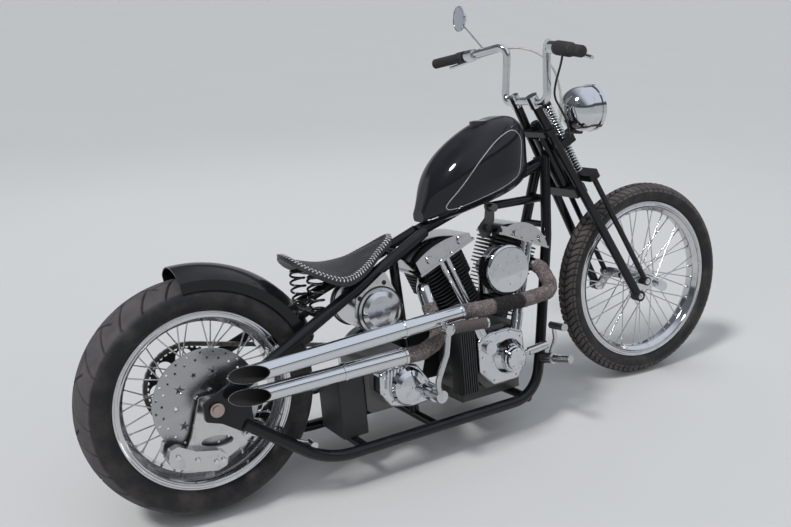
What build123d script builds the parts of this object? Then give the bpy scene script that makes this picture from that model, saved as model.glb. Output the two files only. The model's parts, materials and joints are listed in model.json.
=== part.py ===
from build123d import *
import math
import os

os.makedirs("parts", exist_ok=True)

# The machine is drawn upright in millimetres: +X forwards, +Y to its left, +Z up, with the ground
# point under the rear axle at the origin. It is set down on its side stand at the end.
WHEELBASE = 1640.0
RAKE = 27.3
LEAN = 10.4
PARKED_STEER = -3.7
STEER_TURN = 32.0

# Rear wheel
REAR_TYRE_R = 327.0
REAR_TYRE_W = 180.0
REAR_CROWN_R = 100.0
REAR_BEAD_R = 229.0
REAR_RIM_W = 144.0
# Front wheel
FRONT_TYRE_R = 346.0
FRONT_TYRE_W = 84.0
FRONT_CROWN_R = 45.0
FRONT_BEAD_R = 266.5
FRONT_RIM_W = 56.0
# Both wheels
FLANGE_H = 16.0
RIM_WALL = 4.0
WELL_H = 15.0
SPOKES = 40
SPOKE_R = 2.0
SPOKE_CROSS = 3
SEAT_GAP = 0.3
RUNNING_GAP = 0.08

REAR_AXLE = Vector(0, 0, REAR_TYRE_R)
FRONT_AXLE = Vector(WHEELBASE, 0, FRONT_TYRE_R)
REAR_AXLE_R = 12.5
FRONT_AXLE_R = 9.0
REAR_HUB_R = 30.0
REAR_FLANGE_R = 52.0
REAR_FLANGE_Y = 40.0
FRONT_HUB_R = 22.0
FRONT_FLANGE_R = 38.0
FRONT_FLANGE_Y = 34.0
HUB_FLANGE_T = 6.0

# Brake and final drive
DISC_R = 146.0
DISC_T = 5.0
DISC_Y = 72.0
SPROCKET_R = 114.0
SPROCKET_T = 7.0
CHAIN_Y = 102.5
CHAIN_W = 13.0
CHAIN_H = 12.0
CHAIN_GAP = 0.6
CHAIN_PITCH = 15.875
CHAIN_CORE_W = 7.0
CHAIN_CORE_IN = 2.0
TOOTH_H = 5.0
GEARBOX_SPROCKET_R = 44.0
GEARBOX_SHAFT = Vector(575, 0, 262)

# Frame
TUBE_R = 17.0
NECK_R = 28.0
BACKBONE_R = 20.0
NECK_TOP = -45.0
NECK_BOTTOM = -236.0
STEM_R = 12.5
STEM_POINT = Vector(1215, 0, 945)
RAIL_Y = 140.0
RAIL_Z = 90.0
PLATE_Y = 148.0
PLATE_T = 12.0
STAY_TOP = Vector(746, 0, 662)
STAY_END = Vector(80, 0, REAR_TYRE_R + 45)
SEAT_POST_TOP = Vector(640, 0, 614)
SEAT_POST_FOOT = Vector(668, 0, 98)

# Fork, measured along and across the steering axis from the stem nut
LEG_R = 15.0
LEG_TOP = 62.0
LEG_FOOT = -700.0
LEG_TOP_V = 52.0
LEG_FOOT_V = 112.0
SPRING_LEG_R = 9.5
SPRING_LEG_U = 56.0
SPRING_EYE_W = -679.0
CROWN_W = -237.0
CROWN_T = 24.0
SPRING_R = 17.0
SPRING_V = 22.0
SPRING_ROD_R = 6.0
PERCH_W = -96.0
PERCH_T = 28.0
BRIDGE_W = 30.0
ROCKER_Y = 89.0
ROCKER_T = 10.0

# Engine
CRANK = Vector(922, 0, 222)
V_ANGLE = 22.5
CASE_R = 112.0
CASE_HALF = 62.0
BARREL_FROM = 140.0
HEAD_FROM = 288.0
ROCKER_FROM = 392.0
FIN_PITCH = 12.0
FIN_T = 4.0
BORE_R = 52.0

# Exhaust
PIPE_R = 24.0
WRAP_R = 22.0
PIPE_WALL = 2.0
CLAMP_R = 26.0
CLAMP_W = 8.0
SLASH_LONG = 28.0
SLASH_SHORT = 129.0

# Seat, tanks and bars
OIL_TANK = Vector(534, 0, 468)
OIL_TANK_R = 68.0
OIL_TANK_HALF = 110.0
OIL_RING_R = OIL_TANK_R + 6.0
FENDER_GAP = 37.0
FENDER_R = REAR_TYRE_R + FENDER_GAP
FENDER_SIDE = FENDER_R - 34.0
FENDER_SKIRT = 28.0
FENDER_T = 3.0
FENDER_HALF = 88.0
FENDER_FRONT = 17.6
FENDER_REAR = 95.3
BAR_R = 12.7
GRIP_R = 17.0
LAMP_R = 75.0
LAMP = Vector(1403, 0, 973)

# Side stand
STAND_PIVOT = Vector(905, 176, 88)
STAND_FOOT_X = 1005.0
STAND_FOOT_Y = 305.0
STAND_R = 9.0
STAND_EYE_R = 15.0
STAND_PIN_R = 5.0
STAND_TURN = 112.0
STAND_SOLE = 12.0

# Foot pegs
PEG_FOOT = Vector(1085, 132, 205)
PEG_TIP = Vector(1100, 250, 222)
PEG_R = 13.0
PEG_FREE = 74.0


def fork_point(u, v, w):
    """Give the point u ahead of the steering axis, v to the left and w up along it."""
    return FORK.from_local_coords(Vector(u, v, w))


def bar(start, end, radius, end_radius=None, mode=Mode.ADD):
    """Make a straight round bar, tapered when it has an end radius."""
    start, end = Vector(start), Vector(end)
    run = end - start
    foot = Plane(start, z_dir=run)
    if end_radius is None:
        with BuildSketch(foot) as section:
            Circle(radius)
        return extrude(section.sketch, amount=run.length, mode=mode)
    with BuildSketch(Plane(start, x_dir=foot.x_dir, z_dir=-foot.y_dir)) as half:
        with BuildLine():
            Polyline((0, 0), (radius, 0), (end_radius, run.length), (0, run.length), close=True)
        make_face()
    return revolve(half.sketch, axis=Axis(start, run), mode=mode)


def tube(points, bends, radius, mode=Mode.ADD):
    """Add a round tube that runs from point to point and bends at each corner."""
    with BuildLine() as route:
        FilletPolyline(*points, radius=bends)
    path = route.wires()[0]
    with BuildSketch(Plane(path @ 0, z_dir=path % 0)) as section:
        Circle(radius)
    sweep(sections=section.sketch, path=path, mode=mode)


def turned(axle, outline):
    """Add the ring that an outline of (across, radius) points makes about an axle."""
    with BuildSketch(Plane(axle, x_dir=(0, 1, 0), z_dir=(1, 0, 0))) as section:
        with BuildLine():
            Polyline(*outline, close=True)
        make_face()
    revolve(section.sketch, axis=Axis(axle, (0, 1, 0)))


def slab(outline, origin, depth, bend=0, mode=Mode.ADD):
    """Add a plate with an upright outline of (x, z) points, from origin's y towards the right."""
    with BuildSketch(Plane(origin, x_dir=(1, 0, 0), z_dir=(0, -1, 0))) as section:
        with BuildLine():
            Polyline(*outline, close=True)
        make_face()
        if bend:
            fillet(section.vertices(), bend)
    extrude(section.sketch, amount=depth, mode=mode)


def tyre_ring(axle, radius, width, crown, bead, rim_width):
    """Add a tyre, with a round crown and a bulged wall down to each bead."""
    edge = 0.78 * width / 2
    shoulder = radius - crown + math.sqrt(crown**2 - edge**2)
    foot = rim_width / 2 - RIM_WALL - SEAT_GAP
    lip = bead + FLANGE_H
    belly = lip + 0.45 * (shoulder - lip)
    with BuildSketch(Plane(axle, x_dir=(0, 1, 0), z_dir=(1, 0, 0))) as section:
        with BuildLine():
            ThreePointArc((-edge, shoulder), (0, radius), (edge, shoulder))
            ThreePointArc((edge, shoulder), (width / 2, belly), (foot, lip))
            Polyline((foot, lip), (foot, bead + SEAT_GAP), (-foot, bead + SEAT_GAP), (-foot, lip))
            ThreePointArc((-foot, lip), (-width / 2, belly), (-edge, shoulder))
        make_face()
    revolve(section.sketch, axis=Axis(axle, (0, 1, 0)))


def rim_ring(axle, bead, rim_width):
    """Add a rim: a flange and a bead seat at each side, and a well between them."""
    half = rim_width / 2
    well = half * 0.45
    outer = [(half, bead + FLANGE_H), (half - RIM_WALL, bead + FLANGE_H), (half - RIM_WALL, bead),
             (well + WELL_H, bead), (well, bead - WELL_H)]
    inner = [(well - 2, bead - WELL_H - RIM_WALL), (well + WELL_H, bead - RIM_WALL),
             (half, bead - RIM_WALL)]
    left = [(-y, r) for y, r in reversed(outer)]
    back = [(-y, r) for y, r in inner]
    turned(axle, outer + left + list(reversed(back)) + inner)


def laced(axle, hub_r, flange_y, rim_r, rim_y):
    """Add the crossed spokes, each clear of the others, from the hub's flanges to the rim."""
    per_side = SPOKES // 2
    step = 360 / per_side
    spokes = []
    for side in (1, -1):
        for number in range(per_side):
            outside = 1 if number % 2 else -1
            start = number * step + (step / 2 if side < 0 else 0)
            finish = start + outside * SPOKE_CROSS * step
            hub_y = side * (flange_y + outside * (HUB_FLANGE_T / 2 + SPOKE_R + 0.9))
            far_y = side * (rim_y + outside * (SPOKE_R + 1))
            spokes.append(bar(around(axle, hub_r, start, hub_y),
                              around(axle, rim_r, finish, far_y), SPOKE_R, mode=Mode.PRIVATE))
    add(spokes)


def star(radius):
    """Give the corners of a six-pointed star."""
    reach = (radius, radius * 0.45)
    return [(reach[k % 2] * math.cos(math.pi * k / 6), reach[k % 2] * math.sin(math.pi * k / 6))
            for k in range(12)]


def cord(points, radius):
    """Add a cable whose arcs are as large as its runs allow."""
    corners = [Vector(point) for point in points]
    bends = []
    for before, here, after in zip(corners, corners[1:], corners[2:]):
        half_turn = math.radians((here - before).get_angle(after - here)) / 2
        shorter = min((here - before).length, (after - here).length)
        bends.append(0.45 * shorter / math.tan(half_turn))
    tube(points, bends, radius)


def around(axle, radius, angle, across):
    """Give the point at a radius and an angle about an axle, across it by a distance."""
    turn = math.radians(angle)
    return axle + Vector(radius * math.cos(turn), across, radius * math.sin(turn))


def mirrored(y):
    """Give both sides' signs of a distance from the middle plane."""
    return (y, -y)


def shifted(place, point):
    """Give the place of a point that a location carries along."""
    return Plane(place).from_local_coords(Vector(point))


def tyre_low(place, axle, radius, crown):
    """Give the height of a tyre's lowest point, from its axle's place and slope."""
    centre = shifted(place, axle)
    slope = shifted(place, axle + Vector(0, 1, 0)).Z - centre.Z
    return centre.Z - (radius - crown) * math.sqrt(1 - slope**2) - crown


TILT = math.radians(RAKE)
FORK = Plane(STEM_POINT, x_dir=(math.cos(TILT), 0, math.sin(TILT)),
             z_dir=(-math.sin(TILT), 0, math.cos(TILT)))

# Parked stance: leaned to the left, and pitched and raised until both tyres touch the ground
STEERED = FORK.location * Location((0, 0, 0), (0, 0, PARKED_STEER)) * FORK.location.inverse()

PARK = Location((0, 0, 0), (-LEAN, 0, 0))
for correction in range(4):
    rear_low = tyre_low(PARK, REAR_AXLE, REAR_TYRE_R, REAR_CROWN_R)
    front_low = tyre_low(PARK * STEERED, FRONT_AXLE, FRONT_TYRE_R, FRONT_CROWN_R)
    pitch = math.degrees(math.asin((front_low - rear_low) / WHEELBASE))
    PARK = Location((0, 0, 0), (0, pitch, 0)) * PARK
    PARK = Location((0, 0, -tyre_low(PARK, REAR_AXLE, REAR_TYRE_R, REAR_CROWN_R))) * PARK

# The side stand's foot stands flat on the ground, and its pin turns the leg back along the rail
STAND_FOOT = shifted(PARK.inverse(), (STAND_FOOT_X, STAND_FOOT_Y, 0))
STAND_UP = shifted(PARK.inverse(), (STAND_FOOT_X, STAND_FOOT_Y, 1)) - STAND_FOOT
STAND_LEG = STAND_FOOT + STAND_UP * STAND_SOLE - STAND_PIVOT
STAND_AXIS = STAND_LEG.normalized().cross(Vector(-0.98, 0.17, 0.03)).normalized()

# Rear wheel
with BuildPart() as rear_tyre:
    tyre_ring(REAR_AXLE, REAR_TYRE_R, REAR_TYRE_W, REAR_CROWN_R, REAR_BEAD_R, REAR_RIM_W)

with BuildPart() as rear_rim:
    rim_ring(REAR_AXLE, REAR_BEAD_R, REAR_RIM_W)

SPOKE_SEAT = WELL_H + RIM_WALL + 3 * SEAT_GAP
with BuildPart() as rear_spokes:
    laced(REAR_AXLE, REAR_FLANGE_R, REAR_FLANGE_Y, REAR_BEAD_R - SPOKE_SEAT, 10)

REAR_HUB_RIGHT = DISC_Y
REAR_HUB_LEFT = CHAIN_Y - SPROCKET_T / 2
HUB_BORE = REAR_AXLE_R + RUNNING_GAP
FLANGE_IN = REAR_FLANGE_Y - HUB_FLANGE_T / 2
FLANGE_OUT = REAR_FLANGE_Y + HUB_FLANGE_T / 2
with BuildPart() as rear_hub:
    turned(REAR_AXLE, [
        (-REAR_HUB_RIGHT, HUB_BORE), (-REAR_HUB_RIGHT, 38), (-FLANGE_OUT, 34),
        (-FLANGE_OUT, REAR_FLANGE_R), (-FLANGE_IN, REAR_FLANGE_R), (-FLANGE_IN, REAR_HUB_R),
        (FLANGE_IN, REAR_HUB_R), (FLANGE_IN, REAR_FLANGE_R), (FLANGE_OUT, REAR_FLANGE_R),
        (FLANGE_OUT, 36), (REAR_HUB_LEFT, 44), (REAR_HUB_LEFT, HUB_BORE)])

with BuildPart() as brake_disc:
    with BuildSketch(Plane(REAR_AXLE - Vector(0, DISC_Y, 0), x_dir=(1, 0, 0), z_dir=(0, -1, 0))):
        Circle(DISC_R)
        Circle(HUB_BORE + 1, mode=Mode.SUBTRACT)
        for ring_r, shift in ((DISC_R - 10, 0), (DISC_R - 26, 7.5)):
            with PolarLocations(ring_r, 24, start_angle=shift):
                Circle(3.5, mode=Mode.SUBTRACT)
        for star_r, shift in ((15, 0), (9, 36)):
            with PolarLocations(84, 5, start_angle=shift):
                Polygon(*star(star_r), mode=Mode.SUBTRACT)
    extrude(amount=DISC_T)

TEETH = round(SPROCKET_R * math.tau / CHAIN_PITCH)
TOOTH = ((SPROCKET_R - TOOTH_H, -0.3), (SPROCKET_R, -0.1), (SPROCKET_R, 0.1),
         (SPROCKET_R - TOOTH_H, 0.3))
with BuildPart() as rear_sprocket:
    with BuildSketch(Plane(REAR_AXLE + Vector(0, CHAIN_Y + SPROCKET_T / 2, 0),
                           x_dir=(1, 0, 0), z_dir=(0, -1, 0))):
        with BuildLine():
            turns = [(radius, math.tau * (number + share) / TEETH)
                     for number in range(TEETH) for radius, share in TOOTH]
            Polyline(*[(radius * math.cos(turn), radius * math.sin(turn))
                       for radius, turn in turns], close=True)
        make_face()
        Circle(HUB_BORE + 1, mode=Mode.SUBTRACT)
        with PolarLocations(84, 8):
            Circle(25, mode=Mode.SUBTRACT)
    extrude(amount=SPROCKET_T)

# Front wheel
with BuildPart() as front_tyre:
    tyre_ring(FRONT_AXLE, FRONT_TYRE_R, FRONT_TYRE_W, FRONT_CROWN_R, FRONT_BEAD_R, FRONT_RIM_W)

with BuildPart() as front_rim:
    rim_ring(FRONT_AXLE, FRONT_BEAD_R, FRONT_RIM_W)

with BuildPart() as front_spokes:
    laced(FRONT_AXLE, FRONT_FLANGE_R, FRONT_FLANGE_Y, FRONT_BEAD_R - SPOKE_SEAT, 6)

FRONT_BORE = FRONT_AXLE_R + RUNNING_GAP
FRONT_HUB_END = ROCKER_Y - ROCKER_T / 2 - 5
FRONT_IN = FRONT_FLANGE_Y - HUB_FLANGE_T / 2
FRONT_OUT = FRONT_FLANGE_Y + HUB_FLANGE_T / 2
with BuildPart() as front_hub:
    half_hub = [(FRONT_IN, FRONT_HUB_R), (FRONT_IN, FRONT_FLANGE_R), (FRONT_OUT, FRONT_FLANGE_R),
                (FRONT_OUT, FRONT_HUB_R), (FRONT_HUB_END, FRONT_HUB_R - 4),
                (FRONT_HUB_END, FRONT_BORE)]
    other_half = [(-y, r) for y, r in reversed(half_hub)]
    turned(FRONT_AXLE, other_half + half_hub)

# Frame
SPRING_BAR = Vector(352, 0, 490)
SPRING_BAR_R = 12.0
BATTERY = Vector(425, 0, 192)
BACKBONE_REAR = STAY_TOP - Vector(10, 0, 0)
BACKBONE_FRONT = Vector(1274, 0, 830)
BACKBONE_RUN = (BACKBONE_FRONT - BACKBONE_REAR).normalized()
with BuildPart() as frame_backbone:
    bar(BACKBONE_REAR, BACKBONE_FRONT, BACKBONE_R)
    bar(fork_point(0, 0, NECK_BOTTOM), fork_point(0, 0, NECK_TOP), NECK_R)
    bar(fork_point(0, 0, NECK_BOTTOM), fork_point(0, 0, NECK_TOP), STEM_R + RUNNING_GAP,
        mode=Mode.SUBTRACT)

with BuildPart() as frame_downtubes:
    for side in (1, -1):
        tube([(1234, side * 17, 828), (1186, side * 60, 580), (1088, side * 115, 232)], [300],
             TUBE_R)
    bar((1192, -54, 617), (1192, 54, 617), 11)
    bar((1206, -42, 700), (1206, 42, 700), 13)
    bar((1000, 0, 700), (1206, 0, 700), 14)
    add(frame_backbone.part, mode=Mode.SUBTRACT)

with BuildPart() as frame_lower_rails:
    for side in (1, -1):
        tube([(1088, side * 115, 232), (1040, side * 140, RAIL_Z), (300, side * RAIL_Y, RAIL_Z),
              (70, side * PLATE_Y, REAR_AXLE.Z - 59)], [120, 240], TUBE_R)
    add(frame_downtubes.part, mode=Mode.SUBTRACT)

with BuildPart() as frame_stays:
    for side in (1, -1):
        bar((STAY_TOP.X, side * 25, STAY_TOP.Z), (STAY_END.X, side * PLATE_Y, STAY_END.Z), TUBE_R)
        slab([(-32, 18), (-32, -27), (10, -42), (60, -77), (95, -77), (95, 65), (60, 65),
              (10, 41)], REAR_AXLE + Vector(0, side * PLATE_Y + PLATE_T / 2, 0), PLATE_T, bend=9)
        bar((0, side * (PLATE_Y - 20), REAR_TYRE_R), (0, side * (PLATE_Y + 20), REAR_TYRE_R),
            REAR_AXLE_R + SEAT_GAP, mode=Mode.SUBTRACT)
    add(frame_backbone.part, mode=Mode.SUBTRACT)
    add(frame_lower_rails.part, mode=Mode.SUBTRACT)

with BuildPart() as frame_crossmembers:
    bar(SEAT_POST_TOP - Vector(0, 44, 0), SEAT_POST_TOP + Vector(0, 44, 0), 12)
    bar(SPRING_BAR - Vector(0, 94, 0), SPRING_BAR + Vector(0, 94, 0), SPRING_BAR_R)
    fender_way = (SPRING_BAR - REAR_AXLE).normalized()
    bar(SPRING_BAR, REAR_AXLE + fender_way * (FENDER_R + SEAT_GAP), 10)
    for x in (BATTERY.X, SEAT_POST_FOOT.X, 1010):
        bar((x, -RAIL_Y, RAIL_Z), (x, RAIL_Y, RAIL_Z), 14)
    bar(SEAT_POST_TOP, SEAT_POST_FOOT, TUBE_R - 2)
    add(frame_stays.part, mode=Mode.SUBTRACT)
    bar(STAND_PIVOT - STAND_AXIS * 20, STAND_PIVOT + STAND_AXIS * 20, STAND_PIN_R)
    to_rail = Vector(STAND_PIVOT.X, RAIL_Y, RAIL_Z) - STAND_PIVOT
    lug_root = STAND_PIVOT + to_rail - STAND_AXIS * to_rail.dot(STAND_AXIS)
    for end in (-1, 1):
        bar(STAND_PIVOT + STAND_AXIS * end * 10.5, STAND_PIVOT + STAND_AXIS * end * 20, STAND_EYE_R)
        bar(STAND_PIVOT + STAND_AXIS * end * 15.5, lug_root + STAND_AXIS * end * 15.5, 4.5)
    add(frame_lower_rails.part, mode=Mode.SUBTRACT)

PLATE_OUT = PLATE_Y + PLATE_T / 2
with BuildPart() as rear_axle:
    bar(REAR_AXLE - Vector(0, PLATE_OUT + 14, 0), REAR_AXLE + Vector(0, PLATE_OUT + 14, 0),
        REAR_AXLE_R)
    for y in mirrored(PLATE_OUT + 5):
        bar(REAR_AXLE + Vector(0, y - 5, 0), REAR_AXLE + Vector(0, y + 5, 0), 19)

# Lamp and fork
with BuildPart() as headlight:
    with Locations(LAMP):
        Sphere(LAMP_R)
    with Locations(LAMP + Vector(LAMP_R, 0, 0)):
        Box(2 * LAMP_R, 3 * LAMP_R, 3 * LAMP_R, mode=Mode.SUBTRACT)
    bar(LAMP, LAMP + Vector(34, 0, 0), LAMP_R)
    bar(LAMP + Vector(34, 0, 0), LAMP + Vector(46, 0, 0), LAMP_R + 4)
    bar(LAMP + Vector(46, 0, 0), LAMP + Vector(54, 0, 0), LAMP_R + 4, LAMP_R - 5)
    bar(LAMP + Vector(50, 0, 0), LAMP + Vector(60, 0, 0), LAMP_R - 8, LAMP_R - 30)

with BuildPart() as fork_rear_legs:
    for side in (1, -1):
        bar(fork_point(0, side * LEG_TOP_V, LEG_TOP), fork_point(0, side * LEG_FOOT_V, LEG_FOOT),
            LEG_R)
        pivot = fork_point(0, side * LEG_FOOT_V, LEG_FOOT)
        bar(pivot - Vector(0, 14, 0), pivot + Vector(0, 14, 0), 19)
    with BuildSketch(FORK.offset(NECK_BOTTOM - 42)):
        Rectangle(46, 150)
    extrude(amount=34)
    with BuildSketch(FORK.offset(NECK_TOP + 5)):
        SlotCenterToCenter(118, 50, rotation=90)
    extrude(amount=20)
    with BuildSketch(FORK.offset(NECK_TOP + 25)):
        RegularPolygon(20, 6)
    extrude(amount=16)
    bar(fork_point(0, 0, NECK_BOTTOM - 20), fork_point(0, 0, 4), STEM_R)

with BuildPart() as spring_perch:
    with BuildSketch(FORK.offset(PERCH_W - PERCH_T / 2)):
        with Locations((38, 0)):
            RectangleRounded(80, 134, 14)
        with Locations((-40, 0)):
            Rectangle(90, 140, mode=Mode.SUBTRACT)
        Circle(NECK_R + 7, mode=Mode.SUBTRACT)
        for v in mirrored(SPRING_V):
            with Locations((SPRING_LEG_U, v)):
                Circle(SPRING_ROD_R + 1, mode=Mode.SUBTRACT)
    extrude(amount=PERCH_T)
    for side in (1, -1):
        bar(fork_point(0, side * LEG_TOP_V, LEG_TOP), fork_point(0, side * LEG_FOOT_V, LEG_FOOT),
            LEG_R + 0.1, mode=Mode.SUBTRACT)
    bar(fork_point(SPRING_LEG_U + 20, 0, PERCH_W), fork_point(SPRING_LEG_U + 48, 0, PERCH_W), 9)
    bar(fork_point(SPRING_LEG_U + 44, 0, PERCH_W), LAMP - Vector(0, 0, LAMP_R - 1), 9)
    add(headlight.part, mode=Mode.SUBTRACT)

with BuildPart() as fork_spring_legs:
    for side in (1, -1):
        foot = fork_point(SPRING_LEG_U, side * 106, SPRING_EYE_W)
        bar(fork_point(SPRING_LEG_U, side * 88, CROWN_W), foot, SPRING_LEG_R)
        bar(foot - Vector(0, 11, 0), foot + Vector(0, 11, 0), 15)
    with BuildSketch(FORK.offset(CROWN_W - CROWN_T / 2)):
        with Locations((SPRING_LEG_U, 0)):
            RectangleRounded(44, 212, 16)
        Circle(NECK_R + 8, mode=Mode.SUBTRACT)
    extrude(amount=CROWN_T)
    for v in mirrored(SPRING_V):
        bar(fork_point(SPRING_LEG_U, v, CROWN_W), fork_point(SPRING_LEG_U, v, BRIDGE_W + 16),
            SPRING_ROD_R)
    with BuildSketch(FORK.offset(BRIDGE_W)):
        with Locations((SPRING_LEG_U, 0)):
            SlotCenterToCenter(2 * SPRING_V, 30, rotation=90)
    extrude(amount=8)

SPRINGS = ((PERCH_W + PERCH_T / 2, BRIDGE_W), (CROWN_W + CROWN_T / 2, PERCH_W - PERCH_T / 2))
SPRING_TURNS = 9
with BuildPart() as fork_springs:
    for low, high in SPRINGS:
        for v in mirrored(SPRING_V):
            foot = Plane(fork_point(SPRING_LEG_U, v, low), x_dir=FORK.x_dir, z_dir=FORK.y_dir)
            coil = (high - low) / SPRING_TURNS
            steps = [(SPRING_R - 4 * (k % 2), (k + 0.5) * coil / 2)
                     for k in range(2 * SPRING_TURNS)]
            with BuildSketch(foot) as section:
                with BuildLine():
                    Polyline((SPRING_ROD_R + 2, 0), (SPRING_R, 0), *[(r, -h) for r, h in steps],
                             (SPRING_R, low - high), (SPRING_ROD_R + 2, low - high), close=True)
                make_face()
            revolve(section.sketch, axis=Axis(foot.origin, FORK.z_dir))

ROCKER_OUT = ROCKER_Y + ROCKER_T / 2
with BuildPart() as fork_rockers:
    for side in (1, -1):
        pivot = fork_point(0, side * ROCKER_Y, LEG_FOOT)
        eye = fork_point(SPRING_LEG_U, side * ROCKER_Y, SPRING_EYE_W)
        axle = FRONT_AXLE + Vector(0, side * ROCKER_Y, 0)
        low_side = ROCKER_Y - ROCKER_T / 2 if side > 0 else -ROCKER_Y - ROCKER_T / 2
        for near, far in ((pivot, eye), (eye, axle), (axle, axle + Vector(30, 0, -18))):
            direction = far - near
            middle = (near + far) * 0.5
            with BuildSketch(Plane(Vector(middle.X, low_side, middle.Z), x_dir=direction,
                                   z_dir=(0, 1, 0))) as link:
                SlotCenterToCenter(direction.length, 34)
            extrude(link.sketch, amount=ROCKER_T)
        for centre in (pivot, eye):
            bar(Vector(centre.X, side * ROCKER_Y, centre.Z),
                Vector(centre.X, side * (ROCKER_Y + 9), centre.Z), 10)
    bar(FRONT_AXLE - Vector(0, ROCKER_OUT + 16, 0), FRONT_AXLE + Vector(0, ROCKER_OUT + 16, 0),
        FRONT_AXLE_R)
    for side in (1, -1):
        bar(FRONT_AXLE + Vector(0, side * ROCKER_OUT, 0),
            FRONT_AXLE + Vector(0, side * (ROCKER_OUT + 10), 0), 15)
    add(fork_rear_legs.part, mode=Mode.SUBTRACT)
    add(fork_spring_legs.part, mode=Mode.SUBTRACT)

# Bars, lamp and mirror
with BuildPart() as handlebar:
    tube([(1090, -405, 1159), (1128, -238, 1177), (1196, -108, 1199), (1182, -117, 1010),
          (1177, 0, 1020), (1182, 117, 1010), (1196, 108, 1199), (1128, 238, 1177),
          (1090, 405, 1159)], [60, 30, 30, 400, 30, 30, 60], BAR_R)
    for side in (1, -1):
        top = fork_point(0, side * LEG_TOP_V, LEG_TOP)
        bar(top, top + FORK.z_dir * 40, 20)
    add(fork_rear_legs.part, mode=Mode.SUBTRACT)

with BuildPart() as grips:
    for side in (1, -1):
        near = Vector(1123, side * 260, 1174.6)
        far = Vector(1088, side * 414, 1158)
        bar(near, far, GRIP_R)
    add(handlebar.part, mode=Mode.SUBTRACT)

with BuildPart() as control_levers:
    for side in (1, -1):
        bar((1133, side * 216, 1179), (1126, side * 252, 1176), 19)
        bar((1134, side * 236, 1178), (1160, side * 236, 1172), 9)
        tube([(1160, side * 232, 1171), (1166, side * 262, 1163), (1140, side * 392, 1140)], [40],
             5.5)
    add(handlebar.part, mode=Mode.SUBTRACT)
    add(grips.part, mode=Mode.SUBTRACT)

CABLE_R = 3.5
CABLES = (
    # from a lever's perch, down to the spring perch
    ((1157, 236, 1168), (1186, 190, 1178), (1216, 120, 1192), (1250, 62, 1182),
     (1284, 26, 1152), (1306, 6, 1110), (1318, 0, 1060), (1322, -4, 1010), (1318, -6, 960),
     (1308, -4, 922)),
    ((1160, -236, 1168), (1166, -220, 1138), (1182, -180, 1102), (1210, -124, 1066),
     (1244, -70, 1024), (1272, -72, 980), (1290, -80, 930), (1296, -76, 892)),
)
with BuildPart() as control_cables:
    for route in CABLES:
        cord(route, CABLE_R)
    for solid in (control_levers, handlebar, spring_perch, fork_spring_legs):
        add(solid.part, mode=Mode.SUBTRACT)

MIRROR = Vector(1112, 260, 1300)
MIRROR_BACK = Vector(1, -0.1, -0.05)
with BuildPart() as rear_mirror:
    bar(Vector(1160, 200, 1196), MIRROR + MIRROR_BACK * 10 - Vector(0, 0, 20), 4)
    bar(MIRROR - MIRROR_BACK * 6, MIRROR, 42)
    bar(MIRROR, MIRROR + MIRROR_BACK * 14, 42, 24)
    add(handlebar.part, mode=Mode.SUBTRACT)

# Tank, seat and rear fender
TANK_SECTIONS = (
    # x, half width, low z, high z
    (744, 30, 690, 722), (790, 66, 684, 824), (880, 106, 698, 910), (990, 118, 722, 966),
    (1070, 104, 744, 982), (1112, 78, 764, 966), (1126, 52, 782, 930),
)
with BuildPart() as fuel_tank:
    for x, half, low, high in TANK_SECTIONS:
        with BuildSketch(Plane((x, 0, (low + high) / 2), x_dir=(0, 1, 0), z_dir=(1, 0, 0))):
            RectangleRounded(2 * half, high - low, min(half, (high - low) / 2) * 0.8)
    loft()
    bar(BACKBONE_REAR - BACKBONE_RUN * 60, BACKBONE_FRONT + BACKBONE_RUN * 60,
        BACKBONE_R + SEAT_GAP, mode=Mode.SUBTRACT)

with BuildPart() as tank_cap:
    bar((999, 0, 962), (999, 0, 976), 34)
    add(fuel_tank.part, mode=Mode.SUBTRACT)

SEAT_T = 24.0
SEAT_SECTIONS = (
    # x, half width, height of the middle, drop of the edges
    (282, 56, 668, 6), (345, 112, 636, 22), (415, 132, 616, 34), (490, 104, 620, 28),
    (570, 58, 643, 14), (640, 27, 670, 5),
)
with BuildPart() as seat:
    for x, half, high, drop in SEAT_SECTIONS:
        with BuildSketch(Plane((x, 0, high), x_dir=(0, 1, 0), z_dir=(1, 0, 0))):
            with BuildLine():
                ThreePointArc((-half, -drop), (0, 0), (half, -drop))
                Line((half, -drop), (half, -drop - SEAT_T * 0.6))
                ThreePointArc((half, -drop - SEAT_T * 0.6), (0, -SEAT_T),
                              (-half, -drop - SEAT_T * 0.6))
                Line((-half, -drop - SEAT_T * 0.6), (-half, -drop))
            make_face()
    loft()

with BuildPart() as seat_springs:
    for y in mirrored(62):
        foot = SPRING_BAR + Vector(0, y, SPRING_BAR_R)
        bar(foot, foot + Vector(0, 0, 130), 18)
    with Locations((SPRING_BAR.X, 0, 740)):
        Box(200, 300, 200, mode=Mode.SUBTRACT)
    add(seat.part, mode=Mode.SUBTRACT)

with BuildPart() as rear_fender:
    start = math.radians(FENDER_FRONT)
    radial = Vector(math.cos(start), 0, math.sin(start))
    with BuildSketch(Plane(REAR_AXLE, x_dir=(0, 1, 0), z_dir=(math.sin(start), 0, -math.cos(start)))
                     ) as section:
        with BuildLine():
            for half, top in ((FENDER_HALF, FENDER_R), (FENDER_HALF - FENDER_T, FENDER_R - FENDER_T)):
                Line((-half, FENDER_SIDE - FENDER_SKIRT), (-half, FENDER_SIDE))
                ThreePointArc((-half, FENDER_SIDE), (0, top), (half, FENDER_SIDE))
                Line((half, FENDER_SIDE), (half, FENDER_SIDE - FENDER_SKIRT))
            for y in mirrored(FENDER_HALF - FENDER_T / 2):
                Line((y - FENDER_T / 2, FENDER_SIDE - FENDER_SKIRT),
                     (y + FENDER_T / 2, FENDER_SIDE - FENDER_SKIRT))
        make_face()
    revolve(section.sketch, axis=Axis(REAR_AXLE, (0, -1, 0)),
            revolution_arc=FENDER_REAR - FENDER_FRONT)

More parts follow.
